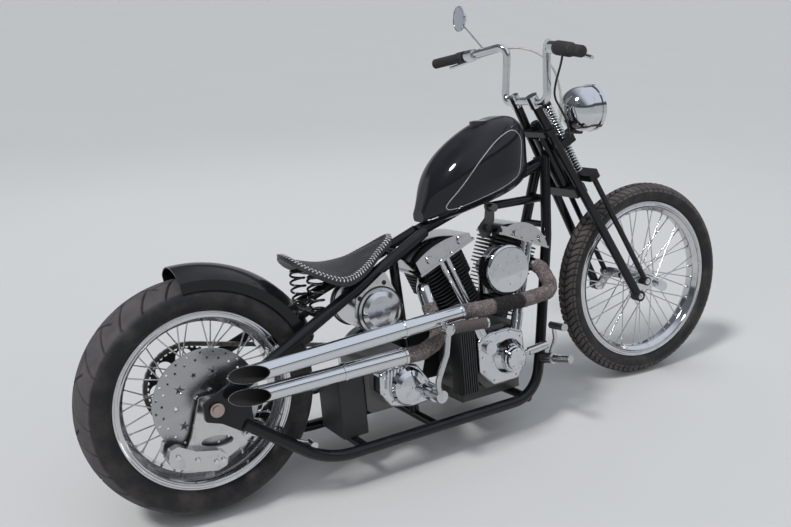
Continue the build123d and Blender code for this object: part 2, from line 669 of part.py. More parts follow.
with BuildPart() as oil_tank:
    end = [(OIL_TANK_HALF - 28, OIL_TANK_R), (OIL_TANK_HALF - 26, OIL_RING_R),
           (OIL_TANK_HALF - 18, OIL_RING_R), (OIL_TANK_HALF - 16, OIL_TANK_R - 6),
           (OIL_TANK_HALF - 10, OIL_TANK_R - 9), (OIL_TANK_HALF - 4, OIL_TANK_R - 22),
           (OIL_TANK_HALF - 1, OIL_TANK_R - 42), (OIL_TANK_HALF, 0)]
    turned(OIL_TANK, [(-y, r) for y, r in reversed(end)] + end)

with BuildPart() as oil_tank_bracket:
    slab([(562, 582), (462, 520), (452, 468), (500, 395), (580, 400), (612, 470)],
         (0, -86, 0), 5, bend=8)
    bar(OIL_TANK - Vector(0, 200, 0), OIL_TANK, OIL_RING_R + SEAT_GAP, mode=Mode.SUBTRACT)

with BuildPart() as battery_box:
    with Locations(BATTERY):
        Box(84, 150, 2 * (BATTERY.Z - RAIL_Z - 14))
    fillet(battery_box.edges(), 6)

# Engine
with BuildPart() as crankcase:
    bar(CRANK - Vector(0, CASE_HALF, 0), CRANK + Vector(0, CASE_HALF, 0), CASE_R)
    slab([(810, 104), (1034, 104), (1034, 140), (1010, 240), (830, 240), (810, 140)],
         (0, CASE_HALF, 0), 2 * CASE_HALF)
    for lean in (V_ANGLE, -V_ANGLE):
        turn = math.radians(lean)
        up = Vector(math.sin(turn), 0, math.cos(turn))
        with BuildSketch(Plane(CRANK, x_dir=(math.cos(turn), 0, -math.sin(turn)), z_dir=up)) as base:
            RectangleRounded(126, 2 * CASE_HALF, 12)
        extrude(base.sketch, amount=BARREL_FROM)
    slab([(828, 320), (828, 200), (870, 150), (985, 150), (1018, 200), (1012, 320), (950, 345),
          (880, 345)], (0, -CASE_HALF, 0), 48, bend=12)

CAM_FACE = CASE_HALF + 48
CAM_T = 34.0
CAM = Vector(942, 0, 247)
with BuildPart() as cam_cover:
    slab([(832, 320), (832, 215), (880, 165), (975, 165), (1008, 215), (1004, 316), (950, 338),
          (880, 338)], (0, -CAM_FACE, 0), CAM_T, bend=16)
    fillet(cam_cover.faces().sort_by(Axis.Y)[0].edges(), 9)
    nose = CAM_FACE + CAM_T
    turned(CAM, [(-CAM_FACE - 20, 0), (-CAM_FACE - 20, 60), (-nose - 2, 56), (-nose - 18, 44),
                 (-nose - 34, 40), (-nose - 36, 36), (-nose - 44, 34), (-nose - 47, 30),
                 (-nose - 47, 0)])
    bar((870, -CAM_FACE - 10, 290), (870, -CAM_FACE - CAM_T - 14, 290), 24, 20)

RIBS = 7
with BuildPart() as ribbed_cover:
    with Locations((800, -CASE_HALF - 39.5, 256)):
        Box(56, 57, 216)
    fillet(ribbed_cover.edges().filter_by(Axis.Y), 8)
    for number in range(RIBS):
        with Locations((776 + number * 8, -CASE_HALF - 71, 256)):
            Box(4, 8, 196)

with BuildPart() as cylinders:
    for lean in (V_ANGLE, -V_ANGLE):
        turn = math.radians(lean)
        up = Vector(math.sin(turn), 0, math.cos(turn))
        stack = Plane(CRANK, x_dir=(math.cos(turn), 0, -math.sin(turn)), z_dir=up)
        with BuildSketch(stack.offset(BARREL_FROM)) as core:
            Circle(BORE_R)
        extrude(core.sketch, amount=ROCKER_FROM - BARREL_FROM)
        fins = int((ROCKER_FROM - BARREL_FROM) / FIN_PITCH)
        plates = []
        for number in range(1, fins):
            height = BARREL_FROM + number * FIN_PITCH
            wide = 152 if height < HEAD_FROM else 176
            with BuildSketch(stack.offset(height)) as fin:
                RectangleRounded(wide, 144, 40)
            plates.append(extrude(fin.sketch, amount=FIN_T, mode=Mode.PRIVATE))
        add(plates)
    with Locations((CRANK.X, 0, 500)):
        Box(6, 300, 700, mode=Mode.SUBTRACT)
    add(crankcase.part, mode=Mode.SUBTRACT)

ROCKER_LEFT = 44.0
ROCKER_WIDE = 146.0
ROCKER_BOXES = (
    # lean, rear and front ends along the head, heights at the rear, the middle and the front
    (V_ANGLE, -88, 84, 28, 58, 10), (-V_ANGLE, -100, 104, 46, 56, 26),
)
with BuildPart() as rocker_boxes:
    for lean, back, front, back_h, top_h, front_h in ROCKER_BOXES:
        turn = math.radians(lean)
        up = Vector(math.sin(turn), 0, math.cos(turn))
        along = Vector(math.cos(turn), 0, -math.sin(turn))
        seat_point = CRANK + up * ROCKER_FROM + Vector(0, ROCKER_LEFT, 0)
        with BuildSketch(Plane(seat_point, x_dir=along, z_dir=(0, -1, 0))) as dome:
            with BuildLine():
                Line((back, 0), (front, 0))
                Line((front, 0), (front, front_h))
                ThreePointArc((front, front_h), (0, top_h), (back, back_h))
                Line((back, back_h), (back, 0))
            make_face()
        extrude(dome.sketch, amount=ROCKER_WIDE)
        with BuildSketch(Plane(seat_point + Vector(0, 5, 0), x_dir=along, z_dir=(0, -1, 0))) as lip:
            Polygon((back - 5, 0), (front + 5, 0), (front + 5, 7), (back - 5, 7), align=None)
        extrude(lip.sketch, amount=ROCKER_WIDE + 10)
        right = seat_point - Vector(0, ROCKER_WIDE, 0)
        for reach, rise in ((back * 0.55, back_h * 0.62), (front * 0.62, top_h * 0.42)):
            middle = right + along * reach + up * rise
            bar(middle, middle - Vector(0, 7, 0), 13, 11)

PUSHRODS = (
    # foot's distance ahead of or behind the crank, top's distance across the cylinder
    (62, -4), (80, 20),
)
with BuildPart() as pushrod_tubes:
    turn = math.radians(V_ANGLE)
    for side in (1, -1):
        for foot_x, across in PUSHRODS:
            foot = Vector(CRANK.X + side * foot_x, -126, 342)
            top = CRANK + Vector(
                side * (math.sin(turn) * ROCKER_FROM + math.cos(turn) * across), -92,
                math.cos(turn) * ROCKER_FROM - math.sin(turn) * across)
            bar(foot - (top - foot) * 0.16, top + (top - foot) * 0.05, 8.5)
            bar(foot - (top - foot) * 0.16, foot + (top - foot) * 0.12, 11)
    for solid in (rocker_boxes, cam_cover, crankcase, ribbed_cover):
        add(solid.part, mode=Mode.SUBTRACT)

AIR_BACK = 108.0
with BuildPart() as carburettor:
    bar((943, -30, 521), (943, -AIR_BACK, 521), 24)
    bar((943, -50, 440), (943, -50, 500), 26)
    add(cylinders.part, mode=Mode.SUBTRACT)

with BuildPart() as top_mount:
    slab([(962, 606), (948, 640), (978, 668), (986, 712), (1016, 712), (1012, 660), (990, 606)],
         (0, -14, 0), 8, bend=5)
    bar((1000, -10, 700), (1000, -44, 700), 13)
    bar((976, -10, 640), (976, -40, 640), 10)
    add(frame_downtubes.part, mode=Mode.SUBTRACT)
    add(rocker_boxes.part, mode=Mode.SUBTRACT)
    add(cylinders.part, mode=Mode.SUBTRACT)

with BuildPart() as air_cleaner:
    turned(Vector(948, 0, 524), [
        (-AIR_BACK, 0), (-AIR_BACK, 70), (-112, 74), (-140, 74), (-142, 78), (-162, 78), (-169, 75),
        (-173, 68), (-175, 30), (-177, 0)])

PRIMARY_OUT = 190.0
PRIMARY_IN = 126.0
CLUTCH = Vector(610, 0, 258)
CLUTCH_R = 104.0
PRIMARY_R = 78.0
with BuildPart() as primary_cover:
    for grow, out in ((6, PRIMARY_IN + 8), (0, PRIMARY_OUT)):
        with BuildSketch(Plane((0, out, 0), x_dir=(1, 0, 0), z_dir=(0, -1, 0))) as outline:
            with Locations((CRANK.X, CRANK.Z)):
                front_end = Circle(PRIMARY_R + grow, mode=Mode.PRIVATE)
            with Locations((CLUTCH.X, CLUTCH.Z)):
                back_end = Circle(CLUTCH_R + grow, mode=Mode.PRIVATE)
            add(make_hull((front_end + back_end).edges(), mode=Mode.PRIVATE))
        extrude(outline.sketch, amount=out - PRIMARY_IN)
    fillet(primary_cover.faces().sort_by(Axis.Y)[-1].edges(), 10)
    for centre, radius in ((CLUTCH, 66), (CRANK, 34)):
        turned(centre, [(PRIMARY_OUT - 5, 0), (PRIMARY_OUT - 5, radius), (PRIMARY_OUT + 4, radius),
                        (PRIMARY_OUT + 8, radius - 8), (PRIMARY_OUT + 10, 0)])
    bar(CRANK + Vector(0, CASE_HALF, 0), CRANK + Vector(0, PRIMARY_IN + 4, 0), 70)

with BuildPart() as gearbox:
    with Locations((553, 5, 245)):
        Box(165, 150, 170)
    fillet(gearbox.edges().filter_by(Axis.Y), 24)

KICK_SHAFT = Vector(640, 0, 212)
KICK_FACE = 70.0
with BuildPart() as kicker_cover:
    slab([(488, 296), (484, 236), (516, 190), (590, 172), (648, 176), (668, 205), (652, 244),
          (616, 296), (560, 314)], (0, -KICK_FACE, 0), 70, bend=16)
    fillet(kicker_cover.faces().sort_by(Axis.Y)[0].edges(), 10)
    turned(Vector(572, 0, 243), [
        (-KICK_FACE - 50, 0), (-KICK_FACE - 50, 58), (-KICK_FACE - 80, 56), (-KICK_FACE - 92, 50),
        (-KICK_FACE - 99, 36), (-KICK_FACE - 102, 0)])
    bar(KICK_SHAFT - Vector(0, KICK_FACE + 50, 0), KICK_SHAFT - Vector(0, 190, 0), 27, 24)
    for number in range(5):
        slab([(502 + number * 11, 250), (510 + number * 11, 302), (515 + number * 11, 302),
              (507 + number * 11, 250)], (0, -KICK_FACE - 66, 0), 12)
    slab([(560, 306), (566, 330), (640, 326), (652, 300), (640, 262)], (0, -KICK_FACE, 0), 50,
         bend=6)

with BuildPart() as kick_arm:
    tube([(640, -212, 214), (618, -238, 262), (650, -250, 345), (662, -250, 408)], [60, 80], 9)
    bar(KICK_SHAFT - Vector(0, 190, 0), KICK_SHAFT - Vector(0, 224, 0), 19)
    bar((662, -262, 414), (662, -238, 414), 15)
    bar((674, -250, 416), (795, -254, 408), 15)
    bar((662, -250, 412), (680, -250, 416), 9)

EXHAUST = (
    # name, route, corner radii, chrome start, chrome end, places of the clamp bands
    ("exhaust_front",
     [(1080, -30, 522), (1114, -112, 496), (1116, -168, 428), (988, -172, 422), (732, -214, 444)],
     [45, 40, 120], (732, -214, 444), (20, -223, 417), (728, 538)),
    ("exhaust_rear",
     [(722, -40, 520), (690, -85, 500), (690, -160, 362), (600, -196, 350), (544, -200, 354)],
     [30, 60, 60], (544, -200, 354), (20, -200, 352), (540, 348)),
)
exhausts = {}
for name, route, bends, join, tip, bands in EXHAUST:
    join, tip = Vector(join), Vector(tip)
    run = (tip - join).normalized()
    with BuildPart() as exhaust:
        tube(route, bends, WRAP_R)
        bar(join, tip, PIPE_R)
        for x in bands:
            middle = join + run * ((join.X - x) / -run.X)
            bar(middle - run * CLAMP_W / 2, middle + run * CLAMP_W / 2, CLAMP_R)
        bar(join + (tip - join) * 0.6, tip, PIPE_R - PIPE_WALL, mode=Mode.SUBTRACT)
        slash = Vector(SLASH_LONG - SLASH_SHORT, 2 * PIPE_R, 0).normalized()
        outside = Vector(-slash.Y, slash.X, 0)
        with BuildSketch(Plane(Vector(SLASH_SHORT, tip.Y - PIPE_R, tip.Z), x_dir=slash,
                               z_dir=outside)) as cut:
            Rectangle(6 * SLASH_SHORT, 6 * PIPE_R)
        extrude(cut.sketch, amount=4 * SLASH_SHORT, mode=Mode.SUBTRACT)
        add(cylinders.part, mode=Mode.SUBTRACT)
    exhausts[name] = exhaust

CHAIN_IN = SPROCKET_R + CHAIN_GAP
SMALL_IN = GEARBOX_SPROCKET_R + CHAIN_GAP


def chain_links(parity):
    """Give the place of every second link, round both sprockets."""
    big, small = CHAIN_IN + CHAIN_H / 2, SMALL_IN + CHAIN_H / 2
    across = GEARBOX_SHAFT - REAR_AXLE
    across = Vector(across.X, 0, across.Z)
    slope = math.atan2(across.Z, across.X)
    lean = math.asin((big - small) / across.length)
    straight = across.length * math.cos(lean)
    wrap_big, wrap_small = math.pi + 2 * lean, math.pi - 2 * lean
    whole = 2 * straight + big * wrap_big + small * wrap_small
    count = 2 * round(whole / CHAIN_PITCH / 2)
    places = []
    up = slope + math.pi / 2 - lean
    for number in range(parity, count, 2):
        far = number * whole / count
        if far < straight:
            centre, radius, angle, ahead = REAR_AXLE, big, up, far
        elif far < straight + small * wrap_small:
            centre, radius, ahead = GEARBOX_SHAFT, small, 0
            angle = up - (far - straight) / small
        elif far < 2 * straight + small * wrap_small:
            centre, radius, angle = GEARBOX_SHAFT, small, up - wrap_small
            ahead = far - straight - small * wrap_small
        else:
            centre, radius, ahead = REAR_AXLE, big, 0
            angle = up - wrap_small - (far - 2 * straight - small * wrap_small) / big
        out = Vector(math.cos(angle), 0, math.sin(angle))
        along = Vector(math.sin(angle), 0, -math.cos(angle))
        at = Vector(centre.X, CHAIN_Y, centre.Z) + out * radius + along * ahead
        places.append(Location(at, (0, 90 - math.degrees(angle), 0)))
    return places


with BuildPart() as drive_chain:
    with BuildSketch(Plane((0, CHAIN_Y + CHAIN_CORE_W / 2, 0), x_dir=(1, 0, 0),
                           z_dir=(0, -1, 0))):
        for grow, mode in ((CHAIN_H - CHAIN_CORE_IN, Mode.ADD), (CHAIN_CORE_IN, Mode.SUBTRACT)):
            with Locations((REAR_AXLE.X, REAR_AXLE.Z)):
                big = Circle(CHAIN_IN + grow, mode=Mode.PRIVATE)
            with Locations((GEARBOX_SHAFT.X, GEARBOX_SHAFT.Z)):
                small = Circle(SMALL_IN + grow, mode=Mode.PRIVATE)
            add(make_hull((big + small).edges(), mode=Mode.PRIVATE), mode=mode)
    extrude(amount=CHAIN_CORE_W)
    for parity, wide in ((0, CHAIN_W), (1, CHAIN_W - 3.5)):
        with Locations(*chain_links(parity)):
            Box(CHAIN_PITCH - 1.6, wide, CHAIN_H)
    bar(GEARBOX_SHAFT + Vector(0, 80, 0), GEARBOX_SHAFT + Vector(0, CHAIN_Y, 0), 20)
    bar(GEARBOX_SHAFT + Vector(0, CHAIN_Y - 4, 0), GEARBOX_SHAFT + Vector(0, CHAIN_Y + 4, 0),
        GEARBOX_SPROCKET_R)

BRACKET_Y = -92.0
BRACKET_T = 10.0
with BuildPart() as rear_caliper:
    with BuildSketch(Plane((0, BRACKET_Y, 0), x_dir=(1, 0, 0), z_dir=(0, -1, 0))) as bracket:
        with BuildLine():
            Polyline((-26, 350), (26, 350), (104, 244), (88, 200), (30, 170), (-96, 196),
                     (-60, 250), close=True)
        make_face()
        fillet(bracket.vertices(), 9)
        with Locations(Location((6, 222), (0, 0, -8))):
            Ellipse(44, 16, mode=Mode.SUBTRACT)
    extrude(bracket.sketch, amount=BRACKET_T)
    hub_end = BRACKET_Y - BRACKET_T
    bar((0, hub_end + 1, REAR_TYRE_R), (0, -PLATE_Y + PLATE_T / 2, REAR_TYRE_R), 22)
    bar(REAR_AXLE - Vector(0, 200, 0), REAR_AXLE, REAR_AXLE_R + SEAT_GAP, mode=Mode.SUBTRACT)
    slab([(-134, 214), (-120, 190), (-70, 166), (-10, 152), (16, 160), (22, 186), (0, 206),
          (-60, 220), (-104, 246), (-126, 240)], (0, hub_end, 0), 26, bend=7)
    slab([(-134, 214), (-120, 190), (-70, 166), (-10, 152), (16, 160), (22, 186), (0, 206),
          (-60, 220), (-104, 246), (-126, 240)], (0, -DISC_Y + 34, 0), 28, bend=7)
    slab([(-128, 196), (-122, 182), (-70, 158), (-10, 144), (4, 148), (10, 160), (-66, 174),
          (-118, 204)], (0, -DISC_Y + 34, 0), -hub_end - DISC_Y + 34, bend=3)
    bar((88, hub_end + 5, 222), (88, hub_end - 12, 222), 12)
    bar((88, hub_end - 5, 222), (262, -RAIL_Y + 26, 146), 6)
    bar((262, -RAIL_Y + 30, 146), (262, -RAIL_Y - 4, 146), 11)
    add(frame_lower_rails.part, mode=Mode.SUBTRACT)

with BuildPart() as forward_controls:
    for side in (1, -1):
        foot = Vector(PEG_FOOT.X, side * PEG_FOOT.Y, PEG_FOOT.Z)
        tip = Vector(PEG_TIP.X, side * PEG_TIP.Y, PEG_TIP.Z)
        collar = tip + (foot - tip).normalized() * PEG_FREE
        bar(foot, collar, PEG_R + 5)
        bar(collar, tip, PEG_R)
        tube([(1088, side * 160, 210), (1112, side * 166, 270), (1104, side * 170, 316)], [40], 7)
        bar((1104, side * 160, 316), (1098, side * 232, 322), 12)
    bar((1070, -174, 262), (1010, -158, 250), 13)
    bar((1010, -158, 250), (994, -154, 246), 8)
    add(frame_downtubes.part, mode=Mode.SUBTRACT)
    add(frame_lower_rails.part, mode=Mode.SUBTRACT)
    add(cam_cover.part, mode=Mode.SUBTRACT)

# Side stand
with BuildPart() as side_stand:
    bar(STAND_PIVOT, STAND_FOOT + STAND_UP * STAND_SOLE, STAND_R)
    bar(STAND_FOOT, STAND_FOOT + STAND_UP * 8, 18, 15)
    bar(STAND_PIVOT - STAND_AXIS * 10, STAND_PIVOT + STAND_AXIS * 10, STAND_EYE_R)
    bar(STAND_PIVOT - STAND_AXIS * 20, STAND_PIVOT + STAND_AXIS * 20, STAND_PIN_R + RUNNING_GAP,
        mode=Mode.SUBTRACT)

FRAME_PIECES = {
    "frame_backbone": frame_backbone, "frame_downtubes": frame_downtubes,
    "frame_lower_rails": frame_lower_rails, "frame_stays": frame_stays,
    "frame_crossmembers": frame_crossmembers, "rear_axle": rear_axle, "fuel_tank": fuel_tank,
    "tank_cap": tank_cap, "seat": seat, "seat_springs": seat_springs,
    "rear_fender": rear_fender, "oil_tank": oil_tank, "oil_tank_bracket": oil_tank_bracket,
    "battery_box": battery_box, "crankcase": crankcase, "cam_cover": cam_cover,
    "ribbed_cover": ribbed_cover, "top_mount": top_mount,
    "cylinders": cylinders, "rocker_boxes": rocker_boxes, "pushrod_tubes": pushrod_tubes,
    "carburettor": carburettor, "air_cleaner": air_cleaner, "primary_cover": primary_cover,
    "gearbox": gearbox, "kicker_cover": kicker_cover, "kick_arm": kick_arm,
    "exhaust_front": exhausts["exhaust_front"], "exhaust_rear": exhausts["exhaust_rear"],
    "drive_chain": drive_chain, "rear_caliper": rear_caliper,
    "forward_controls": forward_controls,
}
REAR_WHEEL_PIECES = {
    "rear_tyre": rear_tyre, "rear_rim": rear_rim, "rear_spokes": rear_spokes,
    "rear_hub": rear_hub, "brake_disc": brake_disc, "rear_sprocket": rear_sprocket,
}
FRONT_WHEEL_PIECES = {
    "front_tyre": front_tyre, "front_rim": front_rim, "front_spokes": front_spokes,
    "front_hub": front_hub,
}
FORK_PIECES = {
    "fork_rear_legs": fork_rear_legs, "spring_perch": spring_perch,
    "fork_spring_legs": fork_spring_legs, "fork_springs": fork_springs,
    "fork_rockers": fork_rockers, "handlebar": handlebar, "grips": grips,
    "control_levers": control_levers, "control_cables": control_cables,
    "mirror": rear_mirror, "headlight": headlight,
}
STAND_PIECES = {"side_stand": side_stand}
BODIES = {
    "frame": FRAME_PIECES, "rear_wheel": REAR_WHEEL_PIECES, "fork": FORK_PIECES,
    "front_wheel": FRONT_WHEEL_PIECES, "stand": STAND_PIECES,
}

# Set every piece down as parked, with the origin under the middle of the whole machine
TURNED = {"fork": PARK * STEERED, "front_wheel": PARK * STEERED}
placed = {
    name: piece.part.moved(TURNED.get(body, PARK))
    for body, pieces in BODIES.items() for name, piece in pieces.items()
}
boxes = [solid.bounding_box() for solid in placed.values()]
CENTRE = Location((
    -(min(box.min.X for box in boxes) + max(box.max.X for box in boxes)) / 2,
    -(min(box.min.Y for box in boxes) + max(box.max.Y for box in boxes)) / 2, 0))
for name, solid in placed.items():
    finished = solid.moved(CENTRE)
    finished.label = name
    export_step(finished, f"parts/{name}.step")
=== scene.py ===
"""Rigid-frame chopper: finishes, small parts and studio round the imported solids."""

import json
import math

import bmesh
import bpy
from bpy.props import FloatProperty, FloatVectorProperty, IntProperty, PointerProperty
from mathutils import Matrix, Vector
from mathutils.bvhtree import BVHTree


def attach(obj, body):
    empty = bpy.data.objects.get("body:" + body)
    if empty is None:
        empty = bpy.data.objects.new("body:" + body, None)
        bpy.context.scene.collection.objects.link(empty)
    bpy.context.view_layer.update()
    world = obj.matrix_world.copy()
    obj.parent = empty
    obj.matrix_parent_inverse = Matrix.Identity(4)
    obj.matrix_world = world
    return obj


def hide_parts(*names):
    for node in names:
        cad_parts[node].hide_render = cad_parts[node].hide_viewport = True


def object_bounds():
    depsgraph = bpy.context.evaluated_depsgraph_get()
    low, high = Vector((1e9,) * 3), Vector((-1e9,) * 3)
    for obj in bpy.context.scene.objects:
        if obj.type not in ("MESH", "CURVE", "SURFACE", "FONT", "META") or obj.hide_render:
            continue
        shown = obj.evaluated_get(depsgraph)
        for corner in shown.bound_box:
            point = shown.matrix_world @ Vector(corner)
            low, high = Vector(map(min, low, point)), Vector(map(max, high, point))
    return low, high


bl_info = {
    "name": "Rigid-frame chopper",
    "version": (1, 0, 0),
    "blender": (4, 5, 0),
    "location": "View3D > Sidebar > Chopper",
    "description": "Builds the finishes and small parts of a springer-fork chopper",
    "category": "Object",
}

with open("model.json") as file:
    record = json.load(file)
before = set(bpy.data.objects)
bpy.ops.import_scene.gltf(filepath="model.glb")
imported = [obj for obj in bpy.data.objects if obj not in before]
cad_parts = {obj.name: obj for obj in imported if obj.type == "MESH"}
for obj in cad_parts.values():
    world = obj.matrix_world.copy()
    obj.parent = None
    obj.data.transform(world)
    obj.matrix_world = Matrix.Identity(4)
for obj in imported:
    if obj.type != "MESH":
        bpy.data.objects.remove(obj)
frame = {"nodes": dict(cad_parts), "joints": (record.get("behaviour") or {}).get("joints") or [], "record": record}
CAD_LOW, CAD_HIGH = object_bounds()
NODES = frame["nodes"]
JOINTS = {joint["name"]: joint for joint in frame["joints"]}
MM = 0.001

# The machine's own drawing: upright, in millimetres, x forwards, y left, z up
WHEELBASE = 1640.0
REAR_AXLE = Vector((0, 0, 327))
FRONT_AXLE = Vector((WHEELBASE, 0, 346))
STEM = Vector((1215, 0, 945))
OIL_TANK = Vector((534, 0, 468))
AIR_CLEANER = Vector((948, 0, 524))
CAP = Vector((999, 0, 962))
LAMP = Vector((1403, 0, 973))
MIRROR = Vector((1112, 260, 1300))
MIRROR_BACK = Vector((1, -0.1, -0.05)).normalized()
RAKE = math.radians(27.3)
AHEAD = Vector((math.cos(RAKE), 0, math.sin(RAKE)))
UP = Vector((-math.sin(RAKE), 0, math.cos(RAKE)))
LEFT = Vector((0, 1, 0))


def parked(wheel, axle):
    """Give the matrix from the drawing to the row frame, from a wheel's and the fork's joints."""
    across = Vector(JOINTS[wheel]["axis"]).normalized()
    up = Vector(JOINTS["steering"]["axis"]).normalized()
    turn = Matrix((across.cross(up), across, up)).transposed() @ Matrix((AHEAD, LEFT, UP))
    place = (turn * MM).to_4x4()
    place.translation = Vector(JOINTS[wheel]["pos_m"]) - turn @ (axle * MM)
    return place


PLACES = {"frame": parked("rear_wheel_spin", REAR_AXLE),
          "fork": parked("front_wheel_spin", FRONT_AXLE)}
PLACES["rear_wheel"] = PLACES["stand"] = PLACES["frame"]
PLACES["front_wheel"] = PLACES["fork"]


def fork_point(ahead, left, up):
    """Give a point from its distances ahead of, left of and up along the steering axis."""
    return STEM + AHEAD * ahead + LEFT * left + UP * up


def turns(count, first=0.0):
    """Give the angles of a round row, evenly apart."""
    return [first + math.tau * k / count for k in range(count)]


def ring_row(x, z, radius, count, first=0.0):
    """Give the (x, z) places of a round row."""
    return [(x + radius * math.cos(t), z + radius * math.sin(t)) for t in turns(count, first)]


# Sockets as Python values
class Signal:
    """An output socket that adds Math nodes when it is used in an expression."""

    def __init__(self, graph, socket):
        self.graph, self.socket = graph, socket

    def __add__(self, other):
        return self.graph.maths("ADD", self, other)

    def __sub__(self, other):
        return self.graph.maths("SUBTRACT", self, other)

    def __rsub__(self, other):
        return self.graph.maths("SUBTRACT", other, self)

    def __mul__(self, other):
        return self.graph.maths("MULTIPLY", self, other)

    def __truediv__(self, other):
        return self.graph.maths("DIVIDE", self, other)

    def __lt__(self, other):
        return self.graph.maths("LESS_THAN", self, other)

    def __gt__(self, other):
        return self.graph.maths("GREATER_THAN", self, other)

    def __pow__(self, other):
        return self.graph.maths("POWER", self, other)

    __radd__ = __add__
    __rmul__ = __mul__


class Graph:
    """A shader or geometry tree, with short ways to add its nodes."""

    def __init__(self, tree):
        self.tree = tree

    def plug(self, value, socket):
        """Link a signal to a socket, or set the socket's own value."""
        if isinstance(value, Signal):
            self.tree.links.new(value.socket, socket)
        else:
            socket.default_value = value

    def node(self, kind, settings=None, values=None):
        """Add a node, set its settings first and then its sockets' values or links."""
        made = self.tree.nodes.new(kind)
        for name, value in (settings or {}).items():
            setattr(made, name, value)
        for name, value in (values or {}).items():
            self.plug(value, made.inputs[name])
        return made

    def out(self, made, name=0):
        return Signal(self, made.outputs[name])

    def get(self, kind, settings=None, values=None, name=0):
        return self.out(self.node(kind, settings, values), name)

    def shape(self, kind, values=None, name=0, **settings):
        """Add a geometry node and give one of its outputs."""
        return self.get("GeometryNode" + kind, settings, values, name)

    def maths(self, operation, *values):
        return self.get("ShaderNodeMath", {"operation": operation}, dict(enumerate(values)))

    def clamped(self, value):
        return self.get("ShaderNodeClamp", None, {"Value": value})

    def between(self, value, low, high):
        """Rise smoothly from 0 to 1 as the value goes from low to high."""
        return self.get("ShaderNodeMapRange", {"interpolation_type": "SMOOTHSTEP"},
                        {"Value": value, "From Min": low, "From Max": high})

    def vector(self, operation, *values, name=0):
        return self.get("ShaderNodeVectorMath", {"operation": operation},
                        dict(enumerate(values)), name)

    def scaled(self, vector, factor):
        return self.get("ShaderNodeVectorMath", {"operation": "SCALE"},
                        {0: vector, "Scale": factor})

    def split(self, vector):
        made = self.node("ShaderNodeSeparateXYZ", None, {0: vector})
        return [self.out(made, k) for k in range(3)]

    def joined(self, x, y, z):
        return self.get("ShaderNodeCombineXYZ", None, {0: x, 1: y, 2: z})

    def blend(self, mask, first, second):
        """Mix two colours; the second shows where the mask is 1."""
        return self.get("ShaderNodeMix", {"data_type": "RGBA"}, {0: mask, 6: first, 7: second}, 2)

    def noise(self, place, scale, detail=3.0, rough=0.5):
        return self.get("ShaderNodeTexNoise", None, {
            "Vector": place, "Scale": scale, "Detail": detail, "Roughness": rough}, "Fac")

    def mark(self, name):
        """Read a number that the mesh carries from point to point."""
        return self.get("ShaderNodeAttribute", {"attribute_name": name}, name="Fac")


def tint(red, green=None, blue=None):
    """Give a colour, or a grey where there is only one number."""
    return (red, red if green is None else green, red if blue is None else blue, 1.0)


def shade(colour, share, lift=0.0):
    """Give a colour made darker or lighter by a share."""
    return (*(c * share + lift for c in colour[:3]), 1.0)


# Finishes
class Finish(Graph):
    """A material with one Principled shader and a place in the drawing's millimetres."""

    def __init__(self, name, body="frame", **sockets):
        self.material = bpy.data.materials.new(name)
        self.material.use_nodes = True
        super().__init__(self.material.node_tree)
        self.shader = self.tree.nodes["Principled BSDF"]
        self.turn = PLACES[body].to_3x3().normalized().to_euler()
        self.place = self.get("ShaderNodeMapping", {"vector_type": "TEXTURE"}, {
            "Vector": self.get("ShaderNodeTexCoord", name="Object"),
            "Location": PLACES[body].translation, "Rotation": self.turn, "Scale": (MM, MM, MM)})
        for label, value in sockets.items():
            self.feed(label.replace("_", " "), value)

    def feed(self, label, value):
        self.plug(value, self.shader.inputs[label])

    def mottle(self, scale, detail=3.0, rough=0.5):
        """Give noise that stays with the machine, in waves a millimetre."""
        return self.noise(self.place, scale, detail, rough)

    def done(self, colour, rough, height, strength, distance):
        """Feed the colour, the roughness and a height to bend the shading by, in metres."""
        self.feed("Base Color", colour)
        self.feed("Roughness", rough)
        self.feed("Normal", self.get("ShaderNodeBump", None, {
            "Height": height, "Strength": strength, "Distance": distance}))
        return self.material

    def brushed(self, outwards, lines, reach):
        """Tilt the normal outwards and inwards by fine lines, as brushing round an axis does."""
        own = self.get("ShaderNodeMapping", {"vector_type": "VECTOR"},
                       {"Vector": outwards, "Rotation": self.turn})
        lean = self.get("ShaderNodeVectorTransform", {
            "vector_type": "VECTOR", "convert_from": "OBJECT", "convert_to": "WORLD"},
            {"Vector": self.scaled(own, (lines - 0.5) * reach)})
        normal = self.get("ShaderNodeNewGeometry", name="Normal")
        self.feed("Normal", self.vector("NORMALIZE", self.vector("ADD", normal, lean)))

    def upward(self):
        """Give how far the surface faces the sky, which is where dust lies."""
        normal = self.get("ShaderNodeNewGeometry", name="Normal")
        return self.between(self.split(normal)[2], 0.2, 0.95)


def enamel(name, colour, coat_rough=0.04, dust=0.025):
    """Make gloss paint with a fine orange peel, wiping marks and a little dust on top."""
    made = Finish(name, Roughness=0.34, Coat_Weight=0.6, Coat_Roughness=coat_rough,
                  Specular_IOR_Level=0.05)
    cloud = made.mottle(0.006, 4)
    speck = made.mottle(0.4, 2)
    dusty = made.upward() * made.between(made.mottle(0.02, 5), 0.42, 0.75) * dust
    paint = made.blend(cloud, colour, shade(colour, 1.7))
    return made.done(made.blend(dusty, paint, tint(0.34, 0.31, 0.26)), 0.24 + 0.2 * cloud + dusty,
                     made.mottle(0.09, 1) + 0.1 * speck, 0.05, 0.0006)


